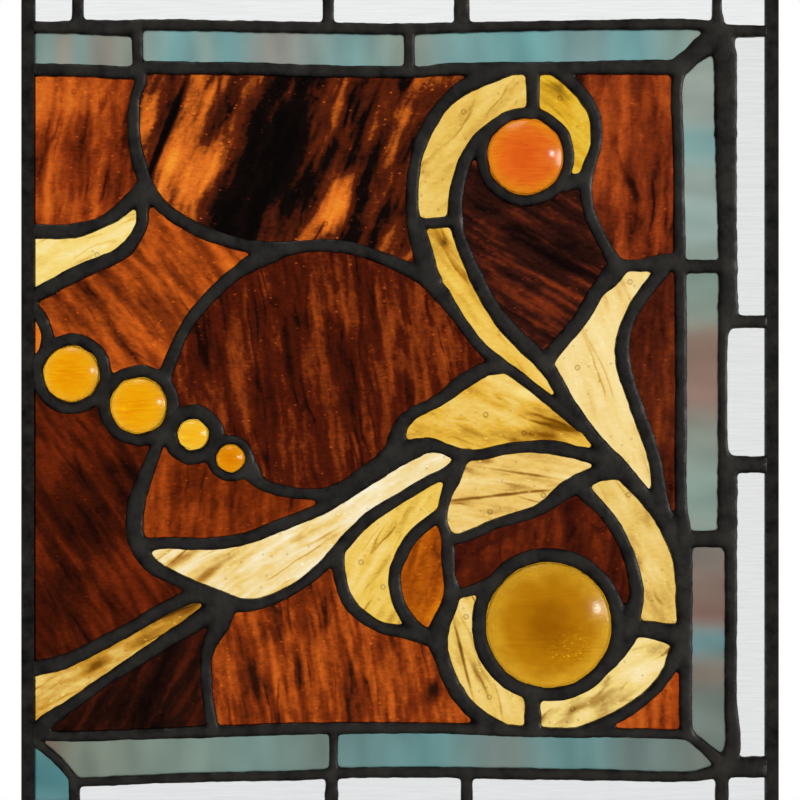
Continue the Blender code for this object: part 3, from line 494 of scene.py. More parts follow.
def patches(tree, centre, turn, size, seed, detail=1.0, rough=0.5, distortion=0.0):
    """Noise in patches of a size in mm, turned in the panel's plane. Returns the noise's outputs."""
    return add_node(tree, "TexNoise", {
        "Vector": on_plane(tree, centre, turn, size[0] * MM, size[1] * MM), "W": seed, "Scale": 1.0,
        "Detail": detail, "Roughness": rough, "Distortion": distortion}, noise_dimensions="4D")


def seeds_field(tree, number, spacing, size):
    """Small round bubbles of air, in about half the cells of a pattern: white rings round grey middles.

    The number shifts and turns the pattern, so that no two sheets have their bubbles alike.
    """
    place = on_plane(tree, Vector((number * 0.0137, number * 0.0071)), number * 11, spacing * MM,
                     spacing * MM)
    apart = add_node(tree, "SeparateXYZ", {"Vector": place})
    cells = add_node(tree, "TexVoronoi", {
        "Vector": add_node(tree, "CombineXYZ", {"X": apart["X"], "Y": apart["Z"]})["Vector"],
        "Scale": 1.0}, voronoi_dimensions="2D")
    radius = size / spacing
    ring = add_node(tree, "ValToRGB", {"Fac": cells["Distance"]}, stops=[
        (0.0, "898989"), (radius * 0.62, "595959"), (radius, "FFFFFF"), (radius * 1.3, "000000")])
    pick = add_node(tree, "Math", {
        0: add_node(tree, "SeparateColor", {"Color": cells["Color"]})["Red"], 1: EMPTY_CELLS,
    }, operation="GREATER_THAN")
    return add_node(tree, "Math", {0: ring["Color"], 1: pick[0]}, operation="MULTIPLY")[0]


def streaky_field(tree, number, look, grain):
    """How light the streaks of a sheet are from place to place, and the noise that makes them wander."""
    length, width = look["streak"]
    angle, mottle = look["angle"], grain["mottle"]
    contrast = grain["contrast"] * look.get("contrast", 1.0)
    wander = patches(tree, CORNER, angle, (26, 16), number * 1.7, 3.0)["Color"]
    warped = add_node(tree, "VectorMath", {
        0: wander, 1: (STREAK_WARP, 0.0, STREAK_WARP * 5),
        2: on_plane(tree, CORNER, angle, length * MM, width * MM)}, operation="MULTIPLY_ADD")["Vector"]
    # Long streaks, broad drifts, short streaks, curdled patches and level ripples. Each layer has its
    # place, detail, roughness, distortion and weight.
    layers = (
        (warped, 1.6, 0.4, 0.0, 2.0 * contrast),
        (on_plane(tree, CORNER, 0, 34 * MM, 34 * MM), 2.0, 0.5, 0.4, 1.0 * contrast),
        (on_plane(tree, CORNER, angle, 15 * MM, 4.5 * MM), 1.4, 0.4, 0.5, 0.9 * contrast),
        (on_plane(tree, CORNER, angle, 5.5 * MM, 3.2 * MM), 1.5, 0.5, 0.8, mottle),
        (on_plane(tree, CORNER, 0, 2.8 * MM, 1.0 * MM), 1.5, 0.5, 0.3, mottle * 0.7),
    )
    field = 0.5 + look["lift"] - sum(layer[-1] for layer in layers) / 2
    for index, (place, detail, rough, distortion, weight) in enumerate(layers):
        texture = add_node(tree, "TexNoise", {
            "Vector": place, "W": number * 5.3 + index * 31.7, "Scale": 1.0, "Detail": detail,
            "Roughness": rough, "Distortion": distortion}, noise_dimensions="4D")["Fac"]
        field = add_node(tree, "Math", {0: texture, 1: weight, 2: field}, operation="MULTIPLY_ADD")[0]
    return field, warped, wander


def veined(tree, number, look, grain, field, warped):
    """A field with thin dark veins, broken here and there, that follow its streaks."""
    place = add_node(tree, "VectorMath", {0: warped, 1: (0.8, 1.0, 0.7)}, operation="MULTIPLY")["Vector"]
    vein = add_node(tree, "TexNoise", {
        "Vector": place, "W": number * 7.9, "Scale": 1.0, "Detail": 1.0, "Roughness": 0.4,
    }, noise_dimensions="4D")["Fac"]
    off = add_node(tree, "Math", {0: vein, 1: 0.5}, operation="SUBTRACT")[0]
    ridge = add_node(tree, "MapRange", {
        "Value": add_node(tree, "Math", {0: off}, operation="ABSOLUTE")[0], "From Min": 0.0,
        "From Max": VEIN_WIDTH, "To Min": -grain["veins"], "To Max": 0.0},
        interpolation_type="SMOOTHSTEP")["Result"]
    breaks = add_node(tree, "MapRange", {
        "Value": patches(tree, CORNER, look["angle"], (30, 12), number * 9.1)["Fac"],
        "From Min": 0.5, "From Max": 0.62})["Result"]
    return add_node(tree, "Math", {0: ridge, 1: breaks, 2: field}, operation="MULTIPLY_ADD")[0]


def glint_flecked(tree, number, grain, field):
    """A field with painted glints: small bright flecks of painted light in some cells of a fine pattern."""
    cells = add_node(tree, "TexVoronoi", {
        "Vector": on_plane(tree, CORNER, 0, 3.4 * MM, 1.7 * MM), "W": number * 2.3, "Scale": 1.0,
    }, voronoi_dimensions="4D")
    glint_light = add_node(tree, "MapRange", {
        "Value": cells["Distance"], "From Min": 0.1, "From Max": 0.32, "To Min": grain["glint_flecks"],
        "To Max": 0.0}, interpolation_type="SMOOTHSTEP")["Result"]
    chosen = add_node(tree, "Math", {
        0: add_node(tree, "SeparateColor", {"Color": cells["Color"]})["Red"], 1: UNGLINTED_CELLS,
    }, operation="GREATER_THAN")[0]
    return add_node(tree, "Math", {0: glint_light, 1: chosen, 2: field}, operation="MULTIPLY_ADD")[0]


def spotted(tree, look, grain, field, wander):
    """A field made lighter or darker in soft spots whose outlines are torn by the wandering noise."""
    torn = grain["ragged"]
    for across, down, reach_across, reach_down, turn, lift in look["spots"]:
        place = on_plane(tree, on_panel(across, down), turn, SPOT_REACH * reach_across * SQUARE,
                         SPOT_REACH * reach_down * SQUARE)
        place = add_node(tree, "VectorMath", {0: wander, 1: (torn, 0.0, torn), 2: place},
                         operation="MULTIPLY_ADD")["Vector"]
        place = add_node(tree, "VectorMath", {0: place, 1: (torn / 2, 0.0, torn / 2)},
                         operation="SUBTRACT")["Vector"]
        fall = add_node(tree, "MapRange", {
            "Value": add_node(tree, "VectorMath", {0: place}, operation="LENGTH")["Value"],
            "From Min": 0.0, "From Max": 1.0, "To Min": lift, "To Max": 0.0},
            interpolation_type="SMOOTHSTEP")["Result"]
        field = add_node(tree, "Math", {0: field, 1: fall}, operation="ADD")[0]
    return field


def streaky_glass(name, number, look, grain, spacing):
    """Hand-rolled streaky cathedral glass: streaks, veins, painted glints, soft spots, bubbles with painted
    shade on their rims and a rolled surface.
    """
    material, tree, inputs = start_material("rolled_streaky_glass_" + name, Roughness=0.06,
                                            IOR=GLASS_IOR, Transmission_Weight=1.0)
    field, warped, wander = streaky_field(tree, number, look, grain)
    field = veined(tree, number, look, grain, field, warped)
    # Painted glints: small bright flecks of painted light.
    field = glint_flecked(tree, number, grain, field)
    field = spotted(tree, look, grain, field, wander)
    # The colours lie between a quarter and three quarters, so that both ends fade off without an edge.
    shade = add_node(tree, "Math", {0: field, 1: 0.5, 2: 0.25}, operation="MULTIPLY_ADD")[0]
    colour = add_node(tree, "ValToRGB", {"Fac": shade}, stops=[
        (0.0, tinted(look["dark"], 0.55, 0.6, 0.7)), (0.25, look["dark"]), (0.5, look["mid"]),
        (0.75, look["bright"]), (1.0, tinted(look["bright"], 1.1, 1.3, 1.3))])["Color"]
    cloud = patches(tree, CORNER, 0, (3.4, 1.5), number * 4.1, 3.0, 0.6, 0.5)["Fac"]
    colour = add_node(tree, "Mix", {
        "Factor": grain["cloud"], "A": colour,
        "B": add_node(tree, "ValToRGB", {"Fac": cloud}, stops=[(0.3, "8E8E8E"), (0.7, "E2E2E2")])["Color"],
    }, data_type="RGBA", blend_type="OVERLAY")["Result"]
    # Large bubbles far apart and small ones between them, with painted shade that darkens their rims
    # strongly and their middles faintly.
    seeds = add_node(tree, "Math", {
        0: seeds_field(tree, number, spacing * 2.2, LARGE_SEED_MM),
        1: seeds_field(tree, number + 17, spacing * 0.9, SMALL_SEED_MM)}, operation="MAXIMUM")[0]
    shaded = add_node(tree, "Mix", {
        "Factor": add_node(tree, "Math", {0: seeds, 1: 0.75}, operation="MULTIPLY")[0], "A": colour,
        "B": linear_colour(BUBBLE_SHADE)}, data_type="RGBA", blend_type="MULTIPLY")["Result"]
    rolled = patches(tree, CORNER, 0, (3.2, 1.1), number, 3.0, 0.55)["Fac"]
    height = add_node(tree, "Math", {0: seeds, 1: 0.5, 2: rolled}, operation="MULTIPLY_ADD")[0]
    lay_surface(tree, inputs, shaded, height, 0.35, 0.4)
    return material


def opal_glass(name, number, stops, low, high):
    """Opalescent sheet: milky glass whose tints drift along the strip."""
    material, tree, inputs = start_material("opalescent_glass_" + name, Roughness=0.45, IOR=GLASS_IOR,
                                            Transmission_Weight=1.0)
    turn, sign = (90, -1.0) if high.y - low.y > high.x - low.x else (0, 1.0)
    middle = (low + high) / 2
    reach = max(high.x - low.x, high.y - low.y)
    torn = add_node(tree, "VectorMath", {
        0: patches(tree, middle, turn, (18, 40), number * 3.3, 2.0)["Color"], 1: (OPAL_DRIFT, 0.0, 0.0),
        2: on_plane(tree, middle, turn, reach, reach)}, operation="MULTIPLY_ADD")["Vector"]
    along = add_node(tree, "SeparateXYZ", {"Vector": torn})["X"]
    field = add_node(tree, "Math", {0: along, 1: sign, 2: 0.5 - OPAL_DRIFT / 2 * sign},
                     operation="MULTIPLY_ADD")[0]
    clouds = patches(tree, middle, turn, (15, 34), number)["Fac"]
    milky = add_node(tree, "Mix", {
        "Factor": 0.5, "A": add_node(tree, "ValToRGB", {"Fac": field}, stops=stops, ease=True)["Color"],
        "B": add_node(tree, "ValToRGB", {"Fac": clouds}, stops=[(0.3, "7C7C7C"), (0.7, "B4B4B4")])["Color"],
    }, data_type="RGBA", blend_type="OVERLAY")["Result"]
    rolled = patches(tree, middle, 0, (4, 4), number, 3.0)["Fac"]
    lay_surface(tree, inputs, milky, rolled, 0.2, 0.3)
    return material


def clear_glass(name, number, code):
    """Drawn sheet glass: nearly clear, with the faint level waves that drawing leaves and painted shade in
    the troughs of the waves.
    """
    material, tree, inputs = start_material("drawn_clear_glass_" + name, Roughness=0.02, IOR=GLASS_IOR,
                                            Transmission_Weight=1.0)
    waves = patches(tree, CORNER, 0, (22, 0.8), number * 2.3, 3.0, 0.6)["Fac"]
    # Painted shade: the colour dims in the troughs of the waves.
    colour = add_node(tree, "ValToRGB", {"Fac": waves}, stops=[
        (0.3, tinted(code, *[CLEAR_WAVE_SHADE] * 3)), (0.65, code)])["Color"]
    lay_surface(tree, inputs, colour, waves, 0.12, 0.2)
    return material


def jewel_glass(name, number, look, centre, radius):
    """Pressed jewel: colour that thins towards the rim, the fine level ripples of the mould with painted
    light and shade along them, and painted glints.
    """
    material, tree, inputs = start_material("pressed_glass_" + name, Roughness=0.2, IOR=GLASS_IOR,
                                            Transmission_Weight=1.0, Specular_IOR_Level=0.2)
    far = add_node(tree, "VectorMath", {0: on_plane(tree, centre, 0, radius, radius)},
                   operation="LENGTH")["Value"]
    cloud = patches(tree, centre, 0, (9, 7), number, 2.0)["Fac"]
    field = add_node(tree, "Math", {
        0: cloud, 1: 0.4, 2: add_node(tree, "Math", {0: far, 1: -0.2}, operation="ADD")[0],
    }, operation="MULTIPLY_ADD")[0]
    tint = add_node(tree, "ValToRGB", {"Fac": field}, stops=[
        (0.1, look["centre"]), (0.6, look["middle"]), (1.0, look["rim"])], ease=True)["Color"]
    ripples = patches(tree, centre, 0, (8, RIPPLE_MM), number * 3.7, 2.0, 0.6, 0.3)["Fac"]
    # Painted light and shade: the colour lightens and darkens along the same ripples that give the relief.
    ripple_lit = add_node(tree, "Mix", {
        "Factor": look["ripple_shading"], "A": tint, "B": add_node(tree, "ValToRGB", {"Fac": ripples}, stops=[
            (0.35, "8C8C8C"), (0.65, "F0F0F0")])["Color"],
    }, data_type="RGBA", blend_type="OVERLAY")["Result"]
    # Painted glints: small golden specks of painted light, thickest at the lower right.
    cells = add_node(tree, "TexVoronoi", {
        "Vector": on_plane(tree, centre, 0, 1.9 * MM, 0.8 * MM), "Scale": 1.0}, voronoi_dimensions="3D")
    corner = on_plane(tree, centre + Vector((0.36, -0.36)) * radius, 30, 0.62 * radius, 0.4 * radius)
    near = add_node(tree, "MapRange", {
        "Value": add_node(tree, "VectorMath", {0: corner}, operation="LENGTH")["Value"],
        "From Min": 0.2, "From Max": 1.0, "To Min": look["glints"], "To Max": 0.0},
        interpolation_type="SMOOTHSTEP")["Result"]
    glint = add_node(tree, "MapRange", {
        "Value": cells["Distance"], "From Min": 0.15, "From Max": 0.4, "To Min": 1.0, "To Max": 0.0},
        interpolation_type="SMOOTHSTEP")["Result"]
    share = add_node(tree, "Math", {
        0: add_node(tree, "Math", {0: near, 1: glint}, operation="MULTIPLY")[0],
        1: add_node(tree, "SeparateColor", {"Color": cells["Color"]})["Red"]}, operation="MULTIPLY")[0]
    glinted = add_node(tree, "Mix", {
        "Factor": share, "A": ripple_lit, "B": linear_colour(tinted(look["rim"], 1.1, 1.12, 1.0)),
    }, data_type="RGBA")["Result"]
    dimples = patches(tree, centre, 0, (2.2, 1.6), number, 2.0)["Fac"]
    height = add_node(tree, "Math", {0: ripples, 1: 0.3, 2: dimples}, operation="MULTIPLY_ADD")[0]
    lay_surface(tree, inputs, glinted, height, 0.3, 0.2)
    return material


def patinated_lead(patina, worn_and_sheen, solder):
    """Lead with a black patina: dull in the hollows, lighter on the crown, where the patina is rubbed thin
    and a sheen is painted, greyer at the solder.
    """
    material, tree, inputs = start_material("lead_came_with_black_patina", Metallic=0.5)
    place = add_node(tree, "TexCoord")["Object"]
    # Soft wear over 7 mm, dents of 2 mm and pits of 1 mm.
    broad, dents, pits = (add_node(tree, "TexNoise", {
        "Vector": place, "Scale": scale, "Detail": detail, "Roughness": rough})["Fac"]
        for scale, detail, rough in ((140.0, 4.0, 0.6), (420.0, 3.0, 0.5), (1100.0, 3.0, 0.7)))
    depth = add_node(tree, "SeparateXYZ", {"Vector": place})["Y"]
    # Partly real wear and partly painted sheen: the crown of the came is made lighter.
    crown = add_node(tree, "MapRange", {
        "Value": add_node(tree, "Math", {0: depth}, operation="ABSOLUTE")[0], "From Min": 2.4 * MM,
        "From Max": 3.6 * MM, "To Min": -0.1, "To Max": 0.25})["Result"]
    field = add_node(tree, "Math", {0: broad, 1: 1.1, 2: crown}, operation="MULTIPLY_ADD")[0]
    joint = add_node(tree, "Attribute", attribute_name="solder")["Fac"]
    colour = add_node(tree, "Mix", {
        "Factor": add_node(tree, "Math", {0: joint, 1: broad}, operation="MULTIPLY")[0],
        "A": add_node(tree, "ValToRGB", {"Fac": field}, stops=[(0.4, patina), (0.95, worn_and_sheen)])["Color"],
        "B": solder}, data_type="RGBA")["Result"]
    rough = add_node(tree, "MapRange", {
        "Value": broad, "From Min": 0.3, "From Max": 0.7, "To Min": LEAD_ROUGHNESS + 0.14,
        "To Max": LEAD_ROUGHNESS - 0.08})["Result"]
    rough = add_node(tree, "Math", {0: joint, 1: -0.1, 2: rough}, operation="MULTIPLY_ADD")[0]
    tree.links.new(rough, inputs["Roughness"])
    height = add_node(tree, "Math", {0: pits, 1: 0.25, 2: dents}, operation="MULTIPLY_ADD")[0]
    lay_surface(tree, inputs, colour, height, 0.9, 0.35)
    return material


def finish_piece(builder, name, material, node):
    """A piece from a bmesh, smooth and facing out, that rides on the panel and stands for a node."""
    bmesh.ops.remove_doubles(builder, verts=builder.verts, dist=1e-6)
    bmesh.ops.recalc_face_normals(builder, faces=builder.faces)
    for face in builder.faces:
        face.smooth = True
    mesh = bpy.data.meshes.new(name)
    builder.to_mesh(mesh)
    builder.free()
    mesh.materials.append(material)
    piece = bpy.data.objects.new(name, mesh)
    bpy.context.scene.collection.objects.link(piece)
    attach(piece, "root")
    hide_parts(node)


def dress_node(name, material):
    """Give a node that keeps its shape its own material."""
    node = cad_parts[name]
    node.data.materials.clear()
    node.data.materials.append(material)


def came_stations(points, step):
    """(position, half width) along a smooth curve through a came's points, every step metres."""
    knots = [(on_panel(p[0], p[1]), (p[2] if len(p) > 2 else USUAL_WIDTH) * SQUARE / 2) for p in points]
    stations = [knots[0]]
    for i in range(len(knots) - 1):
        here, there = knots[i], knots[i + 1]
        before = knots[i - 1][0] if i else here[0] * 2 - there[0]
        after = knots[i + 2][0] if i + 2 < len(knots) else there[0] * 2 - here[0]
        span = (there[0] - here[0]).length
        leave = (there[0] - before).normalized() * span
        arrive = (after - here[0]).normalized() * span
        steps = max(1, math.ceil(span / step))
        for k in range(1, steps + 1):
            t = k / steps
            place = ((2 * t**3 - 3 * t**2 + 1) * here[0] + (t**3 - 2 * t**2 + t) * leave
                     + (3 * t**2 - 2 * t**3) * there[0] + (t**3 - t**2) * arrive)
            stations.append((place, here[1] + (there[1] - here[1]) * t))
    return stations


def came_profile(crown, lip):
    """Cross-section of a round came for a half width of one: (across, depth) around both flanges."""
    points = []
    for k in range(PROFILE_STEPS + 1):
        across = -math.cos(math.pi * k / PROFILE_STEPS)
        points.append((across, -(lip + (crown - lip) * (1 - across * across) ** CROWN_FULLNESS)))
    return points + [(-across, -depth) for across, depth in points]


def draw_came(net, stations, profile, closed, number):
    """Extrude the profile of a came along its stations, in a bmesh of its own that joins the net."""
    builder = bmesh.new()
    count = len(stations)
    rings = []
    for i, (place, half) in enumerate(stations):
        before = stations[i - 1][0] if i or closed else place
        after = stations[(i + 1) % count][0] if i + 1 < count or closed else place
        along = (after - before).normalized()
        across = Vector((-along.y, along.x))
        half *= 1 + sum(share * noise.noise(Vector((place.x * waves, number * spread, place.y * waves)))
                        for share, waves, spread in CAME_WANDER)
        rings.append([(place.x + across.x * u * half, depth, place.y + across.y * u * half)
                      for u, depth in profile])
    loop = [builder.verts.new(p) for p in rings[0]]
    first = [builder.edges.new((loop[k], loop[(k + 1) % len(loop)])) for k in range(len(loop))]
    edges = first
    if not closed:
        builder.faces.new(loop)
    for ring in rings[1:]:
        grown = bmesh.ops.extrude_edge_only(builder, edges=edges)["geom"]
        partner = {}
        for face in (g for g in grown if isinstance(g, bmesh.types.BMFace)):
            for edge in face.edges:
                ends = [v for v in edge.verts if v in loop]
                if len(ends) == 1:
                    partner[ends[0]] = edge.other_vert(ends[0])
        loop = [partner[v] for v in loop]
        for vert, place in zip(loop, ring):
            vert.co = place
        edges = [builder.edges.get((loop[k], loop[(k + 1) % len(loop)])) for k in range(len(loop))]
    if closed:
        bmesh.ops.bridge_loops(builder, edges=first + edges)
    else:
        builder.faces.new(loop)
    mesh = bpy.data.meshes.new("came")
    builder.to_mesh(mesh)
    builder.free()
    net.from_mesh(mesh)
    bpy.data.meshes.remove(mesh)


def trim_to_sight(builder):
    """Cut the cames off just inside the edge cames and close their ends."""
    left, right = SIGHT_LEFT - NET_REACH, SIGHT_LEFT + SIGHT_WIDTH + NET_REACH
    foot, head = SIGHT_FOOT - NET_REACH, SIGHT_FOOT + SIGHT_HEIGHT + NET_REACH
    for place, normal in (((left, 0, 0), (-1, 0, 0)), ((right, 0, 0), (1, 0, 0)),
                          ((0, 0, foot), (0, 0, -1)), ((0, 0, head), (0, 0, 1))):
        geometry = list(builder.verts) + list(builder.edges) + list(builder.faces)
        cut = bmesh.ops.bisect_plane(builder, geom=geometry, plane_co=place, plane_no=normal,
                                     clear_outer=True)["geom_cut"]
        rim = [g for g in cut if isinstance(g, bmesh.types.BMEdge) and g.is_boundary]
        bmesh.ops.edgeloop_fill(builder, edges=rim)


def modified(builder, kind, **settings):
    """Run a bmesh through one modifier. Returns the changed bmesh."""
    mesh = bpy.data.meshes.new("net")
    builder.to_mesh(mesh)
    builder.free()
    thing = bpy.data.objects.new("net", mesh)
    bpy.context.scene.collection.objects.link(thing)
    modifier = thing.modifiers.new("change", kind)
    for name, value in settings.items():
        setattr(modifier, name, value)
    graph = bpy.context.evaluated_depsgraph_get()
    changed = bpy.data.meshes.new_from_object(thing.evaluated_get(graph))
    net = bmesh.new()
    net.from_mesh(changed)
    bpy.data.objects.remove(thing)
    for data in (mesh, changed):
        bpy.data.meshes.remove(data)
    return net


def flow_solder(net, joints, rise):
    """Let the joints fill out: smooth the net, lift it at the joints and leave it a little uneven."""
    for _ in range(FLOW_ROUNDS):
        bmesh.ops.smooth_vert(net, verts=net.verts, factor=0.5, use_axis_x=True, use_axis_y=True,
                              use_axis_z=True)
    net.normal_update()
    tree = kdtree.KDTree(len(joints))
    for index, (place, _) in enumerate(joints):
        tree.insert((place.x, 0, place.y), index)
    tree.balance()
    shine = net.verts.layers.float.new("solder")
    for vert in net.verts:
        _, index, far = tree.find((vert.co.x, 0, vert.co.z))
        near = max(0.0, 1 - far / (joints[index][1] * SOLDER_REACH))
        near = near * near * (3 - 2 * near)
        vert[shine] = near
        lump = sum(noise.noise(vert.co * waves) * height for waves, height in LEAD_LUMPS)
        bead = near * rise * (0.8 + noise.noise(vert.co * SOLDER_WAVES) * 0.6)
        vert.co += vert.normal * (bead + lump)


def spun_jewel(builder, centre, diameter, rise):
    """A pressed jewel spun round its middle: a flat back, a foot in the lead and a full dome."""
    foot = diameter / 2 - 0.2 * MM
    wall = 0.6 * MM
    crown = HALF_LEAD - HALF_GLASS - 0.3 * MM + rise - wall
    ball = (foot * foot + crown * crown) / (2 * crown)
    sweep = math.asin(min(1.0, foot / ball))
    outline = [(0.0, HALF_GLASS), (diameter / 2 + GLASS_TUCK * 0.8, HALF_GLASS),
               (diameter / 2 + GLASS_TUCK, HALF_GLASS * 0.6), (diameter / 2 + GLASS_TUCK, -HALF_GLASS),
               (foot, -HALF_GLASS)]
    for k in range(JEWEL_STEPS + 1):
        tilt = sweep * (1 - k / JEWEL_STEPS)
        outline.append((ball * math.sin(tilt), -HALF_GLASS - wall - crown + ball * (1 - math.cos(tilt))))
    outline[-1] = (0.0, outline[-1][1])
    verts = [builder.verts.new((centre.x + r, depth, centre.y)) for r, depth in outline]
    edges = [builder.edges.new(pair) for pair in zip(verts, verts[1:])]
    bmesh.ops.spin(builder, geom=verts + edges, cent=(centre.x, 0, centre.y), axis=(0, 1, 0),
                   angle=math.tau, steps=JEWEL_SPOKES, use_merge=True)


class PanelSettings(bpy.types.PropertyGroup):
    """Sizes and colours of the panel's finish."""
    came_crown: bpy.props.FloatProperty(
        name="Came crown", description="Height of the crown of the came over the panel's middle",
        default=0.0035, min=0.003, max=0.005, unit="LENGTH")
    came_lip: bpy.props.FloatProperty(
        name="Came lip", description="Height of the came's edge over the panel's middle",
        default=0.0021, min=0.0016, max=0.003, unit="LENGTH")
    came_step: bpy.props.FloatProperty(
        name="Came step", description="Longest straight run along a came",
        default=0.0015, min=0.0005, max=0.01, unit="LENGTH")
    solder_rise: bpy.props.FloatProperty(
        name="Solder rise", description="Height of a solder joint over the cames",
        default=0.0003, min=0.0, max=0.002, unit="LENGTH")
    net_voxel: bpy.props.FloatProperty(
        name="Net voxel", description="Size of the facets that the cames are soldered in",
        default=0.00085, min=0.0005, max=0.003, unit="LENGTH")
    seed_spacing: bpy.props.FloatProperty(
        name="Bubble spacing", description="Distance between the air bubbles in the glass",
        default=0.011, min=0.003, max=0.06, unit="LENGTH")
    patina: bpy.props.FloatVectorProperty(
        name="Patina", description="Colour of the black patina in the hollows of the lead",
        default=linear_colour("171513"), size=4, min=0, max=1, subtype="COLOR")
    # The worn colour serves both the rubbed patina and the painted sheen on the crown.
    worn_lead_and_sheen: bpy.props.FloatVectorProperty(
        name="Worn lead", description="Colour of the lead where the patina is rubbed thin",
        default=linear_colour("403D38"), size=4, min=0, max=1, subtype="COLOR")
    solder: bpy.props.FloatVectorProperty(
        name="Solder", description="Colour of the solder joints",
        default=linear_colour("4B4742"), size=4, min=0, max=1, subtype="COLOR")
    daylight: bpy.props.FloatVectorProperty(
        name="Daylight", description="Colour of the pale daylight around the panel",
        default=linear_colour("FFFFFF"), size=4, min=0, max=1, subtype="COLOR")


class GLAZING_OT_streaky_panes(bpy.types.Operator):
    """Give the amber and yellow panes their streaky glass"""
    bl_idname = "glazing.streaky_panes"
    bl_label = "Streaky panes"

    def execute(self, context):
        spacing = context.scene.panel_settings.seed_spacing / MM
        for looks, grain, seed in ((AMBER_LOOKS, AMBER_GRAIN, AMBER_SEED),
                                   (YELLOW_LOOKS, YELLOW_GRAIN, YELLOW_SEED)):
            for number, (name, look) in enumerate(looks.items(), seed):
                dress_node(name, streaky_glass(name, number, look, grain, spacing))
        return {"FINISHED"}


class GLAZING_OT_border_panes(bpy.types.Operator):
    """Give the border its opalescent and clear glass"""
    bl_idname = "glazing.border_panes"
    bl_label = "Border panes"

    def execute(self, context):
        for number, (name, stops) in enumerate(BLUE_LOOKS.items(), BLUE_SEED):
            low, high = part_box(name)
            dress_node(name, opal_glass(name, number, stops, Vector((low.x, low.z)),
                                        Vector((high.x, high.z))))
        clear = sorted(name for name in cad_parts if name.startswith("clear_"))
        for number, name in enumerate(clear, CLEAR_SEED):
            dress_node(name, clear_glass(name, number, CLEAR_LOOKS[name.split("_")[1]]))
        return {"FINISHED"}


class GLAZING_OT_jewels(bpy.types.Operator):
    """Spin the pressed jewels"""
    bl_idname = "glazing.jewels"
    bl_label = "Jewels"

    def execute(self, context):
        for number, (name, look) in enumerate(JEWEL_LOOKS.items(), JEWEL_SEED):
            centre, diameter, rise, _ = JEWELS[name]
            middle = on_panel(*centre)
            glass = jewel_glass(name, number, look, middle, diameter / 2)
            if name == "jewel_edge":
                dress_node(name, glass)
                continue
            builder = bmesh.new()
            spun_jewel(builder, middle, diameter, rise)
            finish_piece(builder, name + "_dome", glass, name)
        return {"FINISHED"}


class GLAZING_OT_cames(bpy.types.Operator):
    """Draw the lead cames and solder their joints"""
    bl_idname = "glazing.cames"
    bl_label = "Lead cames"

    def execute(self, context):
        settings = context.scene.panel_settings
        lead = patinated_lead(tuple(settings.patina), tuple(settings.worn_lead_and_sheen), tuple(settings.solder))
        profile = came_profile(settings.came_crown, settings.came_lip)
        builder = bmesh.new()
        joints = []
        number = 0
        for group in (FRAME_CAMES, BORDER_TIES, FIELD_CAMES):
            for points in group.values():
                number += 1
                stations = came_stations(points, settings.came_step)
                draw_came(builder, stations, profile, False, number)
                for place, half in (stations[0], stations[-1]):
                    if all((place - other).length > half for other, _ in joints):
                        joints.append((place, half))
        for centre, diameter, _, width in JEWELS.values():
            number += 1
            half = width * SQUARE / 2
            reach = diameter / 2 + half
            count = max(24, math.ceil(math.tau * reach / settings.came_step))
            middle = on_panel(*centre)
            ring = []
            for i in range(count):
                out = Vector((math.cos(math.tau * i / count), math.sin(math.tau * i / count)))
                wobble = noise.noise(Vector((out.x, number * 5.1, out.y)) * RING_LOBES) * RING_WOBBLE
                ring.append((middle + out * (reach + wobble), half))
            draw_came(builder, ring, profile, True, number)
        net = modified(builder, "REMESH", mode="VOXEL", voxel_size=settings.net_voxel)
        flow_solder(net, joints, settings.solder_rise)
        net = modified(net, "DECIMATE", ratio=min(1.0, NET_TRIANGLES / (2 * len(net.faces))))
        trim_to_sight(net)
        finish_piece(net, "soldered_cames", lead, "lead_matrix")
        for side in ("sill", "right", "head", "left"):
            dress_node("edge_came_" + side, lead)
        return {"FINISHED"}


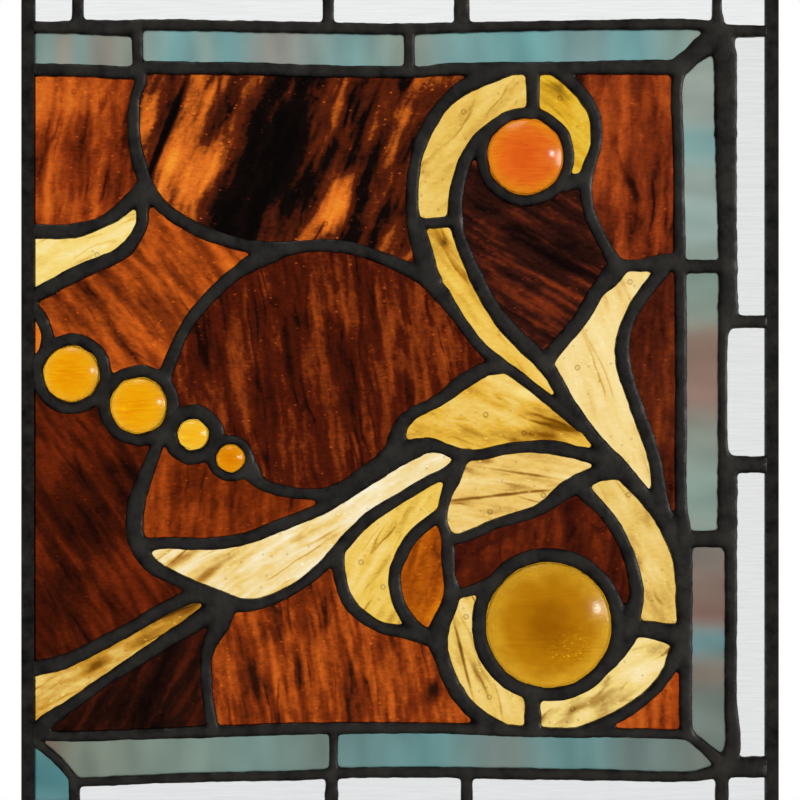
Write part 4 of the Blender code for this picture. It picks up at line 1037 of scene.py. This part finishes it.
class GLAZING_OT_studio(bpy.types.Operator):
    """Set the pale daylight, the floor, the soft lights and the camera"""
    bl_idname = "glazing.studio"
    bl_label = "Studio"

    def execute(self, context):
        scene = context.scene
        world = bpy.data.worlds.new("pale_daylight")
        scene.world = world
        world.use_nodes = True
        sky = world.node_tree.nodes["Background"]
        sky.inputs["Color"].default_value = scene.panel_settings.daylight
        sky.inputs["Strength"].default_value = 1.0
        world.cycles_visibility.glossy = False
        middle = Vector((0, -HALF_LEAD, SIGHT_FOOT + SIGHT_HEIGHT / 2))
        builder = bmesh.new()
        bmesh.ops.create_circle(builder, cap_ends=True, segments=96, radius=FLOOR_RADIUS)
        bmesh.ops.translate(builder, verts=builder.verts, vec=(0, 0, -FLOOR_DROP))
        mesh = bpy.data.meshes.new("floor")
        builder.to_mesh(mesh)
        builder.free()
        plaster, tree, inputs = start_material("matt_white_floor", Roughness=0.8)
        grain = add_node(tree, "TexNoise", {"Vector": add_node(tree, "TexCoord")["Object"], "Scale": 60.0})
        colour = add_node(tree, "ValToRGB", {"Fac": grain["Fac"]}, stops=[(0.3, "E4E4E4"), (0.7, "EAEAEA")])
        tree.links.new(colour["Color"], inputs["Base Color"])
        mesh.materials.append(plaster)
        floor = bpy.data.objects.new("floor", mesh)
        scene.collection.objects.link(floor)
        floor.visible_transmission = False
        floor.visible_glossy = False
        for name, offset, size, power in LIGHTS:
            lamp = bpy.data.lights.new(name, "AREA")
            lamp.shape = "DISK"
            lamp.size = size
            lamp.energy = power
            thing = bpy.data.objects.new(name, lamp)
            thing.location = middle + Vector(offset)
            thing.rotation_euler = (-Vector(offset)).to_track_quat("-Z", "Y").to_euler()
            thing.visible_transmission = False
            scene.collection.objects.link(thing)
        lens = bpy.data.cameras.new("camera")
        lens.lens = 100.0
        lens.sensor_width = 36.0
        camera = bpy.data.objects.new("camera", lens)
        distance = (SIGHT_HEIGHT - FRAME_TRIM) / 2 * lens.lens / (lens.sensor_width / 2)
        camera.location = (0, -HALF_LEAD - distance, middle.z)
        camera.rotation_euler = (math.radians(90), 0, 0)
        scene.collection.objects.link(camera)
        scene.camera = camera
        scene.view_settings.view_transform = "Standard"
        return {"FINISHED"}


OPERATORS = (GLAZING_OT_streaky_panes, GLAZING_OT_border_panes, GLAZING_OT_jewels, GLAZING_OT_cames,
             GLAZING_OT_studio)


class GLAZING_PT_panel(bpy.types.Panel):
    """The glazing tools in the sidebar"""
    bl_idname = "GLAZING_PT_panel"
    bl_label = "Stained glass panel"
    bl_space_type = "VIEW_3D"
    bl_region_type = "UI"
    bl_category = "Glazing"

    def draw(self, context):
        for name in PanelSettings.__annotations__:
            self.layout.prop(context.scene.panel_settings, name)
        for operator in OPERATORS:
            self.layout.operator(operator.bl_idname)


CLASSES = (PanelSettings, *OPERATORS, GLAZING_PT_panel)


def register():
    """Register the classes and their settings."""
    for item in CLASSES:
        bpy.utils.register_class(item)
    bpy.types.Scene.panel_settings = bpy.props.PointerProperty(type=PanelSettings)


def unregister():
    """Remove the settings and the classes."""
    del bpy.types.Scene.panel_settings
    for item in reversed(CLASSES):
        bpy.utils.unregister_class(item)


def main():
    """Dress the panel."""
    register()
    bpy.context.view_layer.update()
    bpy.ops.glazing.streaky_panes()
    bpy.ops.glazing.border_panes()
    bpy.ops.glazing.jewels()
    bpy.ops.glazing.cames()
    bpy.ops.glazing.studio()


if __name__ == "__main__":
    main()
